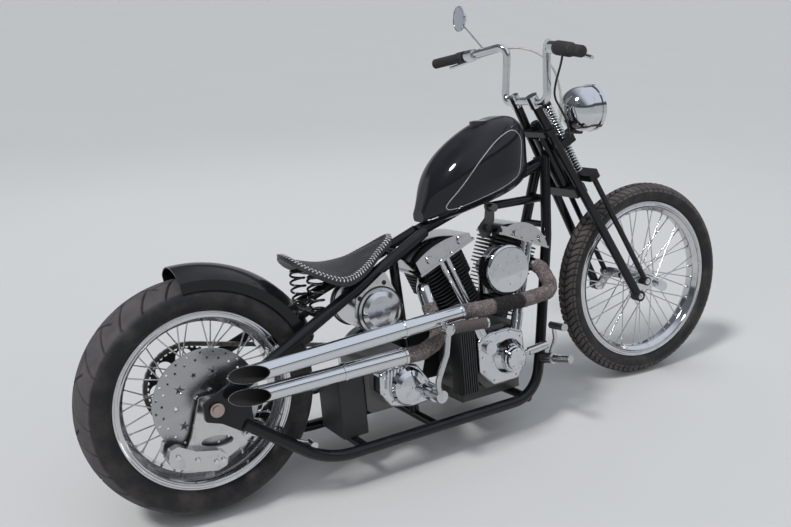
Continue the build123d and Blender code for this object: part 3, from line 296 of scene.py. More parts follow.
def bright(name, colour, rough=(0.05, 0.16), scratch=0.05, body="frame"):
    """Make chrome or polished metal: cloudy reflection, fine scratches, hazy patches."""
    made = Finish(name, body, Metallic=1.0)
    cloud = made.mottle(0.012, 5, 0.6)
    haze = made.between(made.mottle(0.05, 4), 0.5, 0.8)
    fine = made.noise(made.vector("MULTIPLY", made.place, (0.35, 0.35, 0.02)), 4.0, 3, 0.7)
    return made.done(made.blend(haze, colour, shade(colour, 0.82)),
                     rough[0] + (rough[1] - rough[0]) * (0.5 * cloud + 0.5 * haze),
                     fine, scratch, 0.0002)


def cast(name, colour, metal, rough, grain, height):
    """Make cast or painted castings with a sandy skin and grime in random patches."""
    made = Finish(name, Metallic=metal)
    sand = made.mottle(grain, 4, 0.65)
    grime = made.between(made.mottle(0.02, 4), 0.55, 0.75)
    skin = made.blend(sand * 0.35, colour, shade(colour, 0.55))
    return made.done(made.blend(grime, skin, shade(colour, 0.6, 0.012)),
                     rough + 0.18 * sand + 0.12 * grime, sand, 0.35, height)


def turned_steel(name, centre, colour, rough, brush, up=False, dark_from=None):
    """Make lathe-turned or ground steel with rings round an axis, a painted sheen round it, and maybe a black
    outer ring.
    """
    made = Finish(name, Metallic=1.0)
    x, y, z = made.split(made.vector("SUBTRACT", made.place, centre))
    if up:
        y, z = z, y
    radius = made.maths("SQRT", x * x + z * z)
    rings = made.noise(made.joined(radius, y * 0.1, 0.0), 0.9, 4, 0.7)
    angle = made.maths("ARCTAN2", z, x)
    # Painted sheen: colour streaks set by the angle round the axis stand in for the highlights of brushing.
    painted_sheen = made.noise(made.joined(made.maths("SINE", angle), made.maths("COSINE", angle), 0.0),
                       2.2, 2)
    steel = made.blend(rings * 0.35 + painted_sheen * 0.25, colour, shade(colour, 0.6))
    level = rough + 0.1 * rings + 0.08 * painted_sheen
    if dark_from:
        dark = made.between(radius, dark_from, dark_from + 0.6)
        steel = made.blend(dark, steel, tint(0.015))
        level = level + dark * 0.2
        made.feed("Metallic", 1 - dark)
    made.feed("Base Color", steel)
    made.feed("Roughness", level)
    ahead, other = x / radius, z / radius
    outwards = made.joined(ahead, other, 0.0) if up else made.joined(ahead, 0.0, other)
    made.brushed(outwards, made.noise(made.joined(radius, 0.0, 0.0), 1.7, 2, 0.8), brush)
    return made.material


def tyre_rubber(name, axle, body, dusty):
    """Make tyre rubber: dry dusty tread with black grooves, smoother walls with mould rings."""
    made = Finish(name, body, Specular_IOR_Level=0.35)
    x, y, z = made.split(made.vector("SUBTRACT", made.place, axle))
    radius = made.maths("SQRT", x * x + z * z)
    tread = made.mark("worn")
    patch = made.mottle(0.02, 5, 0.6)
    speck = made.mottle(0.5, 3, 0.7)
    wall = made.blend(made.between(patch, 0.35, 0.75), tint(0.011, 0.011, 0.012),
                      tint(0.038, 0.032, 0.031))
    worn = made.blend(made.between(patch * 0.6 + speck * 0.4, 0.3, 0.7), shade(dusty, 0.58), dusty)
    mould = made.maths("SINE", radius * 1.3) * (1 - tread)
    return made.done(made.blend(tread, wall, worn), 0.46 + 0.3 * tread + 0.12 * speck,
                     speck + 0.15 * mould, 0.35, 0.0005)


def leather(name, colour, worn):
    """Make grained leather with creases and paler rubbed patches at random."""
    made = Finish(name, Specular_IOR_Level=0.5, Sheen_Weight=0.05, Sheen_Roughness=0.5)
    pebble = made.get("ShaderNodeTexVoronoi", {"feature": "DISTANCE_TO_EDGE"},
                      {"Vector": made.place, "Scale": 0.42}, "Distance")
    pore = made.mottle(1.3, 3, 0.6)
    rubbed = made.between(made.mottle(0.018, 5, 0.55), 0.45, 0.72)
    return made.done(made.blend(rubbed, colour, worn), 0.36 + 0.16 * pore + 0.1 * rubbed,
                     made.maths("MINIMUM", pebble * 6, 1.0) + 0.3 * pore, 0.4, 0.0006)


def rubber(name, colour, body="frame"):
    """Make plain moulded rubber with a bloom of dust."""
    made = Finish(name, body, Specular_IOR_Level=0.4)
    speck = made.mottle(0.6, 4, 0.7)
    bloom = made.between(made.mottle(0.03, 4), 0.5, 0.8)
    return made.done(made.blend(bloom * 0.4, colour, tint(0.11, 0.1, 0.09)),
                     0.58 + 0.2 * speck + 0.1 * bloom, speck, 0.3, 0.0004)


PIPE_BORE_R = 23.7
PIPE_BORE_AHEAD = 300.0


def pipe_chrome(name, join, tip):
    """Make a chromed pipe: straw heat marks at its joint, soot inside its open end."""
    made = Finish(name, Metallic=1.0)
    x, y, z = made.split(made.place)
    reach = (x - join.x) * (1 / (tip.x - join.x))
    off_y = y - (join.y + reach * (tip.y - join.y))
    off_z = z - (join.z + reach * (tip.z - join.z))
    radius = made.maths("SQRT", off_y * off_y + off_z * off_z)
    inside = (radius < PIPE_BORE_R) * (x < PIPE_BORE_AHEAD)
    cloud = made.mottle(0.012, 5, 0.6)
    heat = made.clamped(1 - reach * 3.0) * made.between(cloud, 0.3, 0.7) * 0.25
    chrome = made.blend(heat, tint(0.68, 0.69, 0.71), tint(0.55, 0.45, 0.3))
    fine = made.noise(made.vector("MULTIPLY", made.place, (0.02, 0.4, 0.4)), 4.0, 3, 0.7)
    made.feed("Metallic", 1 - inside)
    return made.done(made.blend(inside, chrome, tint(0.012, 0.011, 0.01)),
                     0.06 + 0.09 * cloud + 0.7 * inside, fine, 0.05, 0.0002)


# Where along x, in millimetres, a stretch of tape is painted black as shade.
PAINTED_SHADE_FROM, PAINTED_SHADE_TO = (862, 874), (984, 1000)
WEAVE_RATE = 2.4


def heat_wrap(name):
    """Make woven stained tape, browned where hot; painted shade in its pits and along one black stretch, and pale
    frayed fibres that are partly painted highlight.
    """
    made = Finish(name, Specular_IOR_Level=0.2)
    weave = (made.maths("SINE", made.mark("along") * WEAVE_RATE)
             * made.maths("SINE", made.mark("round") * WEAVE_RATE))
    stain = made.mottle(0.03, 5, 0.65)
    fluff = made.mottle(0.15, 6, 0.85)
    ragged = made.split(made.place)[0] + 20 * stain
    # Painted shade: the stretch between the two ranges is coloured black.
    dark = made.between(ragged, *PAINTED_SHADE_FROM) * (1 - made.between(ragged, *PAINTED_SHADE_TO))
    brown = made.blend(made.between(stain, 0.35, 0.7), tint(0.225, 0.185, 0.178),
                       tint(0.105, 0.084, 0.08))
    cloth = made.blend(dark, brown, tint(0.022, 0.021, 0.022))
    # Painted shade: the pits, where the bump sinks the fluff, are darkened.
    painted_pit_shade = made.blend((1 - made.between(fluff, 0.34, 0.49)) * 0.8, cloth,
                      tint(0.03, 0.025, 0.024))
    # Pale frayed fibres, partly a painted highlight on the fluff, and fewer in the painted shade.
    frayed_and_highlight = made.between(fluff, 0.51, 0.62) * (0.75 - 0.6 * dark)
    return made.done(made.blend(frayed_and_highlight, painted_pit_shade, tint(0.44, 0.39, 0.37)), 0.82 + 0.15 * fluff,
                     0.4 * weave + 1.6 * fluff, 1.0, 0.0016)


PEDAL_FROM, PEDAL_TO, PEDAL_ABOVE = 676.0, 788.0, 385.0


def kick_finish(name):
    """Make a chromed arm whose pedal bar is dull brown rubber."""
    made = Finish(name)
    x, y, z = made.split(made.place)
    pedal = (x > PEDAL_FROM) * (x < PEDAL_TO) * (z > PEDAL_ABOVE)
    cloud = made.mottle(0.03, 4)
    grit = made.mottle(0.7, 3, 0.7)
    chrome = made.blend(cloud, tint(0.64, 0.65, 0.67), tint(0.5, 0.49, 0.48))
    brown = made.blend(grit, tint(0.05, 0.042, 0.038), tint(0.11, 0.09, 0.075))
    made.feed("Metallic", 1 - pedal)
    return made.done(made.blend(pedal, chrome, brown), 0.08 + 0.1 * cloud + pedal * 0.62,
                     made.maths("SINE", x * 1.1) * pedal + 0.1 * grit, 0.5, 0.0008)


COVER_JOINT = 134.2


def cover_finish(name):
    """Make a chromed cover whose inner half is black: a separate inner casting, darkened also as painted shade."""
    made = Finish(name)
    # Inner half: partly the real inner casting, partly painted shade where shade falls on it.
    inner = made.split(made.place)[1] < COVER_JOINT
    cloud = made.mottle(0.012, 5, 0.6)
    sand = made.mottle(0.5, 4, 0.65)
    chrome = made.blend(cloud * 0.4, tint(0.64, 0.65, 0.67), tint(0.5, 0.5, 0.51))
    made.feed("Metallic", 1 - 0.8 * inner)
    return made.done(made.blend(inner, chrome, tint(0.02, 0.02, 0.021)),
                     0.06 + 0.1 * cloud + 0.4 * inner, sand * (0.08 + inner), 0.3, 0.0005)


def cable_finish(name, strand, gap, metal):
    """Make a cable's braided jacket."""
    made = Finish(name, "fork", Metallic=metal)
    x, y, z = made.split(made.place)
    braid = made.maths("SINE", (x + z) * 2.6) * made.maths("SINE", (x - z + y) * 2.6)
    speck = made.mottle(0.6, 3, 0.6)
    return made.done(made.blend(made.between(braid, -0.4, 0.5), gap, strand), 0.4 + 0.15 * speck,
                     braid + 0.2 * speck, 0.5, 0.0005)


def glass(name, colour, rough):
    """Make a silvered lens or mirror glass with faint smears."""
    made = Finish(name, "fork", Metallic=0.85, Coat_Weight=1.0, Coat_Roughness=0.02)
    smear = made.mottle(0.05, 4, 0.6)
    return made.done(made.blend(smear * 0.4, colour, shade(colour, 0.8)), rough + 0.06 * smear,
                     smear, 0.04, 0.0003)


FINISHES = {}


def finish_all(paint):
    """Make every finish once, under the name of the record's material slot or of the piece."""
    FINISHES.update({
        "black_frame": enamel("gloss_black_enamel", tint(*paint.enamel)),
        "tank_paint": enamel("gloss_black_tank", tint(*paint.tank), 0.02, 0.012),
        "chrome": bright("bright_chrome", tint(0.64, 0.65, 0.67)),
        "fork_chrome": bright("fork_chrome", tint(0.64, 0.65, 0.67), body="fork"),
        "rim_chrome": bright("wheel_chrome", tint(0.64, 0.64, 0.65), (0.05, 0.18)),
        "rocker_covers": bright("satin_rocker_covers", tint(0.56, 0.56, 0.57), (0.05, 0.17), 0.06),
        "polished_aluminium": bright("polished_aluminium", tint(0.62, 0.62, 0.61), (0.16, 0.34),
                                     0.12),
        "spring_steel": bright("plated_springs", tint(0.7, 0.71, 0.72), (0.08, 0.2)),
        "seat_spring": bright("dark_springs", tint(0.12, 0.12, 0.12), (0.2, 0.4)),
        "axle_nut": bright("tarnished_nut", tint(0.44, 0.35, 0.31), (0.16, 0.4), 0.1),
        "fasteners": bright("chromed_screws", tint(0.74, 0.75, 0.76), (0.1, 0.26)),
        "black_fins": cast("satin_black_castings", tint(0.028, 0.028, 0.029), 0.1, 0.42, 0.5,
                           0.0006),
        # Castings darkened partly as painted shade, for the dark gaps round the engine.
        "castings": cast("oily_castings", tint(0.13, 0.128, 0.122), 0.8, 0.3, 0.35, 0.0006),
        "dark_screws": cast("blackened_screws", tint(0.02, 0.02, 0.02), 0.3, 0.4, 0.8, 0.0003),
        "chain_steel": cast("oiled_chain_steel", tint(0.2, 0.19, 0.175), 0.9, 0.3, 0.9, 0.0004),
        "sprocket": cast("blackened_sprocket", tint(0.035, 0.034, 0.033), 0.6, 0.4, 0.7, 0.0004),
        "pinstripe": cast("silver_line", tint(0.5, 0.5, 0.5), 0.5, 0.3, 0.8, 0.0002),
        "primary": cover_finish("primary_cover_chrome"),
        "kick": kick_finish("kick_arm_chrome"),
        "wrap": heat_wrap("woven_heat_wrap"),
        "oil_can": turned_steel("spun_oil_tank", OIL_TANK, tint(0.7, 0.71, 0.73), 0.08, 0.3,
                                dark_from=68.6),
        "fuel_cap": turned_steel("spun_fuel_cap", CAP, tint(0.5, 0.52, 0.53), 0.12, 0.25, True,
                                 26.5),
        "disc_steel": turned_steel("ground_disc", REAR_AXLE, tint(0.5, 0.505, 0.515), 0.16, 0.7),
        "grip_rubber": rubber("grip_rubber", tint(0.022), "fork"),
        "pedal_rubber": rubber("pedal_rubber", tint(0.085, 0.068, 0.064)),
        "seat_leather": leather("black_leather", tint(0.016, 0.016, 0.018),
                                tint(0.036, 0.036, 0.038)),
        "lacing": leather("pale_lacing", tint(0.52, 0.51, 0.5), tint(0.74, 0.73, 0.72)),
        "clutch_cable": cable_finish("braided_clutch_cable", tint(0.7, 0.7, 0.67),
                                     tint(0.3, 0.3, 0.28), 0.55),
        "throttle_cable": cable_finish("black_throttle_cable", tint(0.022), tint(0.01), 0.0),
        "mirror": glass("mirror_glass", tint(0.42, 0.45, 0.52), 0.01),
        "lens": glass("lamp_glass", tint(0.62, 0.64, 0.66), 0.06),
        "rear_rubber": tyre_rubber("rear_tyre_rubber", REAR_AXLE, "frame",
                                   tint(0.094, 0.083, 0.088)),
        "front_rubber": tyre_rubber("front_tyre_rubber", FRONT_AXLE, "fork",
                                    tint(0.115, 0.1, 0.095)),
    })
    for name, route, _, tip, _ in PIPES:
        FINISHES[name] = pipe_chrome(name + "_chrome", Vector(route[-1]), Vector(tip))


# Meshes
class Shape:
    """Points and faces gathered into one mesh, in the drawing's millimetres."""

    def __init__(self):
        self.points, self.faces = [], []

    def skin(self, rings, looped=False):
        """Join rings of equal count into a closed skin."""
        first, count = len(self.points), len(rings[0])
        for ring in rings:
            self.points.extend(Vector(p) for p in ring)
        pairs = list(zip(range(len(rings)), range(1, len(rings))))
        if looped:
            pairs.append((len(rings) - 1, 0))
        for a, b in pairs:
            for k in range(count):
                n = (k + 1) % count
                self.faces.append([first + a * count + k, first + a * count + n,
                                   first + b * count + n, first + b * count + k])
        if not looped:
            last = first + (len(rings) - 1) * count
            self.faces.append(list(range(first, first + count)))
            self.faces.append(list(range(last, last + count)))

    def turned(self, centre, axis, outline, steps=48):
        """Turn an outline of (along, radius) points round an axis."""
        axis = Vector(axis).normalized()
        side = axis.orthogonal().normalized()
        other = axis.cross(side)
        self.skin([[Vector(centre) + axis * along
                    + (side * math.cos(t) + other * math.sin(t)) * radius for t in turns(steps)]
                   for along, radius in outline])

    def tube(self, path, radius, sides):
        """Run a round tube along a closed path."""
        rings, side = [], None
        for k, here in enumerate(path):
            along = (path[(k + 1) % len(path)] - path[k - 1]).normalized()
            side = along.orthogonal() if side is None else side - along * side.dot(along)
            side.normalize()
            other = along.cross(side)
            rings.append([here + (side * math.cos(t) + other * math.sin(t)) * radius
                          for t in turns(sides)])
        self.skin(rings, looped=True)

    def mesh(self, name):
        made = bpy.data.meshes.new(name)
        made.from_pydata([tuple(p) for p in self.points], [], self.faces)
        return outward(made)


def outward(mesh, merge=0.0005):
    """Merge doubled points and point every face of a closed mesh outwards."""
    work = bmesh.new()
    work.from_mesh(mesh)
    bmesh.ops.remove_doubles(work, verts=work.verts, dist=merge)
    bmesh.ops.recalc_face_normals(work, faces=work.faces)
    work.to_mesh(mesh)
    work.free()
    return mesh


def one_mesh(meshes, name):
    """Join plain meshes into one."""
    work = bmesh.new()
    for mesh in meshes:
        work.from_mesh(mesh)
    made = bpy.data.meshes.new(name)
    work.to_mesh(made)
    work.free()
    return made


def linked(name, data):
    """Put new data into the scene as an object."""
    made = bpy.data.objects.new(name, data)
    bpy.context.scene.collection.objects.link(made)
    return made


def plain_mesh(holder):
    """Turn an object's evaluated shape into a plain mesh."""
    bpy.context.view_layer.update()
    depsgraph = bpy.context.evaluated_depsgraph_get()
    return bpy.data.meshes.new_from_object(holder.evaluated_get(depsgraph))


def piece(name, mesh, body, finish, replaces=(), sharp=40):
    """Set a finished mesh down as a piece of the machine, on its body."""
    mesh.transform(PLACES[body])
    mesh.shade_smooth()
    mesh.set_sharp_from_angle(angle=math.radians(sharp))
    mesh.materials.clear()
    mesh.materials.append(FINISHES[finish])
    made = linked(name, mesh)
    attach(made, body)
    if replaces:
        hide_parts(*replaces)
    return made


def rays_at(body, *names):
    """Give a tree to cast rays at CAD nodes, in the drawing's millimetres."""
    back = PLACES[body].inverted()
    points, faces = [], []
    for name in names:
        first = len(points)
        data = NODES[name].data
        points.extend(back @ v.co for v in data.vertices)
        faces.extend([first + v for v in face.vertices] for face in data.polygons)
    return BVHTree.FromPolygons(points, faces)


def met(tree, origin, heading):
    """Give where a ray meets a surface, and the surface's direction there."""
    spot, normal, _, _ = tree.ray_cast(Vector(origin), Vector(heading).normalized())
    if spot is None:
        raise ValueError(f"no surface ahead of {tuple(origin)}")
    if normal.dot(Vector(heading)) > 0:
        normal = -normal
    return spot, normal


# Geometry trees
def grown_tree(name, **sizes):
    """Start a geometry tree with a named input for each size, and one for its material."""
    tree = bpy.data.node_groups.new(name, "GeometryNodeTree")
    tree.interface.new_socket("Geometry", in_out="INPUT", socket_type="NodeSocketGeometry")
    for label, default in sizes.items():
        kind = "NodeSocketInt" if isinstance(default, int) else "NodeSocketFloat"
        socket = tree.interface.new_socket(label.replace("_", " "), in_out="INPUT",
                                           socket_type=kind)
        socket.default_value = default
    tree.interface.new_socket("Material", in_out="INPUT", socket_type="NodeSocketMaterial")
    tree.interface.new_socket("Geometry", in_out="OUTPUT", socket_type="NodeSocketGeometry")
    graph = Graph(tree)
    entry = tree.nodes.new("NodeGroupInput")
    return graph, {socket.name: graph.out(entry, k)
                   for k, socket in enumerate(entry.outputs) if socket.name}


def ended(g, given, geometry):
    """End a geometry tree in Realize Instances and Set Material."""
    whole = g.shape("RealizeInstances", {"Geometry": geometry})
    done = g.shape("SetMaterial", {"Geometry": whole, "Material": given["Material"]})
    g.plug(done, g.tree.nodes.new("NodeGroupOutput").inputs[0])
    return g.tree


def grown(tree, seed, finish, **sizes):
    """Run a geometry tree on a seed mesh and give back the plain mesh that it makes."""
    values = {label.replace("_", " "): value for label, value in sizes.items()}
    values["Material"] = FINISHES[finish]
    holder = linked("seed", seed)
    modifier = holder.modifiers.new("grow", "NODES")
    modifier.node_group = tree
    for item in tree.interface.items_tree:
        if item.item_type == "SOCKET" and item.in_out == "INPUT" and item.name in values:
            modifier[item.identifier] = values[item.name]
    made = plain_mesh(holder)
    holder.modifiers.remove(modifier)
    bpy.data.objects.remove(holder)
    if not made.polygons:
        raise ValueError(f"{tree.name} made no faces")
    return made


def line_seed(points, **marks):
    """Make a mesh of edges from point to point, with a vector attribute for each mark."""
    mesh = bpy.data.meshes.new("seed")
    edges = [(k, k + 1) for k in range(len(points) - 1)]
    mesh.from_pydata([tuple(p) for p in points], edges, [])
    for label, vectors in marks.items():
        attribute = mesh.attributes.new(label, "FLOAT_VECTOR", "POINT")
        for datum, vector in zip(attribute.data, vectors):
            datum.vector = vector
    return mesh


def marked(g, geometry, label, value):
    """Store a number on every point, under a name."""
    return g.shape("StoreNamedAttribute", {"Geometry": geometry, "Name": label, "Value": value},
                   data_type="FLOAT", domain="POINT")


def stored(g, label, kind="FLOAT"):
    """Read what every point carries under a name."""
    return g.shape("InputNamedAttribute", {"Name": label}, data_type=kind)


def moved(g, geometry, **place):
    """Set the points of a shape to a Position, or move them by an Offset."""
    return g.shape("SetPosition", {"Geometry": geometry, **place})


def circle(g, sides, radius):
    """Give a round outline for a sweep."""
    return g.shape("CurvePrimitiveCircle", {"Resolution": sides, "Radius": radius}, "Curve")


def swept(g, curve, outline, **more):
    """Run an outline along a curve and shut both ends."""
    return g.shape("CurveToMesh", {"Curve": curve, "Profile Curve": outline, "Fill Caps": True,
                                   **more})


def cylinder(g, sides, radius, depth):
    return g.shape("MeshCylinder", {"Vertices": sides, "Radius": radius, "Depth": depth}, "Mesh")


def cone(g, sides, foot, top, depth):
    return g.shape("MeshCone", {"Vertices": sides, "Radius Bottom": foot, "Radius Top": top,
                                "Depth": depth}, "Mesh")


def raised(g, geometry, height=0.0, scale=(1, 1, 1)):
    """Move a shape up, and stretch it."""
    return g.shape("Transform", {"Geometry": geometry, "Translation": g.joined(0.0, 0.0, height),
                                 "Scale": scale})


def gathered(g, *parts):
    """Join shapes into one geometry."""
    made = g.tree.nodes.new("GeometryNodeJoinGeometry")
    for part in parts:
        g.tree.links.new(part.socket, made.inputs[0])
    return g.out(made)


def tread_tree(name, rule):
    """Tree that turns a tyre's section round its axle and cuts the tread by a rule."""
    g, given = grown_tree(name, Steps_round=720, Section_points=100, Groove_depth=5.0, Repeats=40,
                          Tread_half_width=70.0)
    grid = g.shape("MeshGrid", {
        "Vertices X": given["Steps round"] + 1, "Vertices Y": given["Section points"],
        "Size X": 1.0, "Size Y": 1.0}, "Mesh")
    index = g.shape("InputIndex")
    across_no = g.maths("FLOORED_MODULO", index, given["Section points"])
    round_no = g.maths("FLOOR", index / given["Section points"] + 0.0001)
    across, radius, on_tread = g.split(g.shape(
        "SampleIndex", {"Geometry": given["Geometry"], "Value": g.shape("InputPosition"),
                        "Index": across_no}, data_type="FLOAT_VECTOR"))
    share = round_no / given["Steps round"]
    groove = rule(g, share * given["Repeats"], across / given["Tread half width"])
    depth = radius - groove * on_tread * given["Groove depth"]
    angle = share * math.tau
    tyre = moved(g, grid, Position=g.joined(depth * g.maths("COSINE", angle), across,
                                            depth * g.maths("SINE", angle)))
    worn = marked(g, tyre, "worn", on_tread * (1 - groove))
    return ended(g, given, g.shape("MergeByDistance", {"Geometry": worn, "Distance": 0.02}))


def saw(g, value):
    """Give how far a value is from the middle of its step, from 0 to 0.5."""
    return g.maths("ABSOLUTE", g.maths("FLOORED_MODULO", value, 1.0) - 0.5)


GROOVE_WIDTH = 0.027


def groove_line(g, phase, from_edge, start, lean, reach):
    """One slanted groove of every repeat, from a tread edge inwards."""
    off = saw(g, phase - start - from_edge * lean + 0.5)
    return (1 - g.between(off, GROOVE_WIDTH * 0.6, GROOVE_WIDTH)) * (
        1 - g.between(from_edge, reach, reach + 0.03))


def road_rule(g, turn, across):
    """From each edge a long and a short slanted groove, joined by a thin one along the tread."""
    cut = None
    for side, shift in ((1.0, 0.0), (-1.0, 0.5)):
        from_edge = 1 + across * side
        phase = shift - turn
        part = g.maths("FLOORED_MODULO", phase, 1.0)
        tail = (1 - g.between(g.maths("ABSOLUTE", from_edge - 1.0 - (0.85 - part) * 0.55),
                              0.012, 0.026)) * (part > 0.42) * (part < 0.86)
        for one in (groove_line(g, phase, from_edge, 0.0, 0.33, 1.45),
                    groove_line(g, phase, from_edge, 0.5, 0.35, 1.0), tail):
            cut = one if cut is None else g.maths("MAXIMUM", cut, one)
    return cut


def block_rule(g, turn, across):
    """Bands of blocks that run across the tread in a wave, cut by zigzag grooves round it."""
    half = g.maths("ABSOLUTE", across)
    wave = g.maths("SINE", across * 5.2) * 0.3
    bars = 1 - g.between(saw(g, turn + wave + half * 0.4), 0.1, 0.15)
    sway = saw(g, turn) * 0.12 - 0.03
    rows = g.between(saw(g, across * 1.6 + sway + 0.5), 0.37, 0.42)
    return g.maths("MAXIMUM", rows * (1 - g.between(half, 0.9, 0.96)), bars)


def coil_tree():
    """Tree that winds a spring: closed coils at both ends, a round wire and shut ends."""
    g, given = grown_tree("wound spring", Height=110.0, Turns=9.0, Radius=13.5, Belly=0.0,
                          Wire_radius=3.2)
    spiral = g.shape("CurveSpiral", {
        "Resolution": 26, "Rotations": given["Turns"], "Start Radius": given["Radius"],
        "End Radius": given["Radius"], "Height": given["Height"]})
    share = g.shape("SplineParameter")
    x, y, z = g.split(g.shape("InputPosition"))
    rise = g.clamped((share * given["Turns"] - 1.0) / (given["Turns"] - 2.0))
    wire = given["Wire radius"]
    high = wire + rise * (given["Height"] - 2.0 * wire)
    out = g.maths("SQRT", x * x + y * y)
    swell = 1.0 + given["Belly"] * g.maths("SINE", share * math.pi) / out
    path = moved(g, spiral, Position=g.joined(x * swell, y * swell, high))
    return ended(g, given, swept(g, path, circle(g, 10, wire)))


def studs_tree(name, part):
    """Tree that sets one small part on every point, turned to its facing and along marks."""
    g, given = grown_tree(name, Radius=4.0, Height=4.0)
    turn = g.get("FunctionNodeAxesToRotation", {"primary_axis": "Z", "secondary_axis": "X"},
                 {"Primary Axis": stored(g, "facing", "FLOAT_VECTOR"),
                  "Secondary Axis": stored(g, "along", "FLOAT_VECTOR")})
    placed = g.shape("InstanceOnPoints", {
        "Points": given["Geometry"], "Rotation": turn,
        "Instance": part(g, given["Radius"], given["Height"])})
    return ended(g, given, placed)


def screw_part(g, r, h):
    """A washer, a hexagon head with a bevelled top and the end of its thread."""
    return gathered(g, cylinder(g, 18, r * 1.35, h * 0.5),
                    raised(g, cylinder(g, 6, r, h * 1.1), h * 0.55),
                    raised(g, cone(g, 6, r, r * 0.74, h * 0.25), h * 1.1),
                    raised(g, cone(g, 12, r * 0.5, r * 0.36, h * 0.5), h * 1.2))


def cap_part(g, r, h):
    """A round socket-head screw with a rounded edge and a sunk middle."""
    return gathered(g, cylinder(g, 20, r, h * 1.6),
                    raised(g, cone(g, 20, r, r * 0.82, h * 0.2), h * 0.8),
                    raised(g, cone(g, 6, r * 0.12, r * 0.5, h * 0.12), h * 1.0))


def nipple_part(g, r, h):
    """A spoke nipple: a tapered sleeve on a round seat."""
    return gathered(g, cone(g, 10, r, r * 0.72, h), cylinder(g, 12, r * 1.3, h * 0.25))


def stitch_part(g, r, h):
    """One stitch of lacing: a plump thong that dips at both ends."""
    ball = g.shape("MeshUVSphere", {"Segments": 10, "Rings": 6, "Radius": r}, "Mesh")
    return raised(g, ball, scale=(2.3, 0.72, 0.6))


def sleeve_tree():
    """Tree that turns a ribbed sleeve along a line, such as a hand grip."""
    g, given = grown_tree("ribbed sleeve", Radius=17.0, Rib_depth=0.9, Ribs=22.0, Swell=4.0,
                          Swell_end=0.5)
    line = g.shape("MeshToCurve", {"Mesh": given["Geometry"]})
    fine = g.shape("ResampleCurve", {"Curve": line, "Count": 260})
    share = g.shape("SplineParameter")
    wave = g.between(g.maths("COSINE", share * given["Ribs"] * math.tau), -0.5, 0.2)
    body = g.between(share, 0.1, 0.12) * (1 - g.between(share, 0.93, 0.95))
    end = g.maths("SQRT", g.clamped(1 - ((share - 0.96) / 0.04) ** 2.0)) * (share > 0.96)
    lip = (1 - g.between(share - given["Swell end"], 0.0, 0.06)) * given["Swell"]
    size = (given["Radius"] - given["Rib depth"] * (1 - wave) * body + lip) * (
        (share < 0.96) + end)
    return ended(g, given, swept(g, fine, circle(g, 36, 1.0), Scale=g.maths("MAXIMUM", size, 0.4)))


def wrap_tree():
    """Tree that winds overlapping tape along a pipe, one turn over the last."""
    g, given = grown_tree("wound tape", Pipe_radius=22.0, Tape_step=24.0, Tape_thickness=1.5)
    line = g.shape("MeshToCurve", {"Mesh": given["Geometry"]})
    fine = g.shape("ResampleCurve", {"Curve": line, "Length": 1.6}, mode="LENGTH")
    path = marked(g, fine, "along", g.shape("SplineParameter", name="Length"))
    outline = marked(g, circle(g, 40, given["Pipe radius"]), "turn", g.shape("SplineParameter"))
    wound = swept(g, path, outline)
    turn = stored(g, "turn")
    lap = g.maths("FLOORED_MODULO", stored(g, "along") / given["Tape step"] - turn, 1.0)
    ripple = g.noise(g.shape("InputPosition"), 0.11, 2) * 0.5
    lift = (g.between(lap, 0.0, 0.1) * (1.0 - 0.75 * lap) + ripple) * given["Tape thickness"]
    tape = moved(g, wound, Offset=g.scaled(g.shape("InputNormal"), lift))
    return ended(g, given, marked(g, tape, "round", turn * given["Pipe radius"] * math.tau))


# Paths and outlines
def rounded(points, bends, step=4.0):
    """Give a polyline whose corners are arcs of the given radii."""
    points = [Vector(p) for p in points]
    path = [points[0]]
    for before, here, after, radius in zip(points, points[1:], points[2:], bends):
        back, on = (before - here).normalized(), (after - here).normalized()
        half = back.angle(on) / 2
        cut = radius / math.tan(half)
        centre = here + (back + on).normalized() * (radius / math.sin(half))
        start, stop = here + back * cut - centre, here + on * cut - centre
        sweep = start.angle(stop)
        axis = start.cross(stop).normalized()
        count = max(2, round(radius * sweep / step))
        path += [centre + Matrix.Rotation(sweep * k / count, 3, axis) @ start
                 for k in range(count + 1)]
    path.append(points[-1])
    return path


def spaced(path, step, closed=False):
    """Give points at an even step along a path, with the path's direction at each."""
    path = [Vector(p) for p in path] + ([Vector(path[0])] if closed else [])
    lengths = [(b - a).length for a, b in zip(path, path[1:])]
    whole = sum(lengths)
    count = max(2, round(whole / step))
    made, leg, gone = [], 0, 0.0
    for k in range(count if closed else count + 1):
        reach = min(whole * k / count, whole - 1e-6)
        while reach > gone + lengths[leg]:
            gone += lengths[leg]
            leg += 1
        a, b = path[leg], path[leg + 1]
        made.append((a.lerp(b, (reach - gone) / lengths[leg]), (b - a).normalized()))
    return made


def smooth_loop(points, rounds):
    """Round a closed outline by cutting its corners."""
    points = [Vector(p) for p in points]
    for _ in range(rounds):
        points = [p for a, b in zip(points, points[1:] + points[:1])
                  for p in (a.lerp(b, 0.25), a.lerp(b, 0.75))]
    return points


def arc_through(start, middle, end, step):
    """Give points of the arc through three (y, r) points, without the last one."""
    (ax, ay), (bx, by), (cx, cy) = start, middle, end
    d = 2 * (ax * (by - cy) + bx * (cy - ay) + cx * (ay - by))
    ux = ((ax**2 + ay**2) * (by - cy) + (bx**2 + by**2) * (cy - ay)
          + (cx**2 + cy**2) * (ay - by)) / d
    uy = ((ax**2 + ay**2) * (cx - bx) + (bx**2 + by**2) * (ax - cx)
          + (cx**2 + cy**2) * (bx - ax)) / d
    radius = math.hypot(ax - ux, ay - uy)
    first, mid, last = (math.atan2(y - uy, x - ux) for x, y in (start, middle, end))
    turn = (last - first) % math.tau
    if (mid - first) % math.tau > turn:
        turn -= math.tau
    count = max(2, round(abs(turn) * radius / step))
    return [(ux + radius * math.cos(first + turn * k / count),
             uy + radius * math.sin(first + turn * k / count)) for k in range(count)]


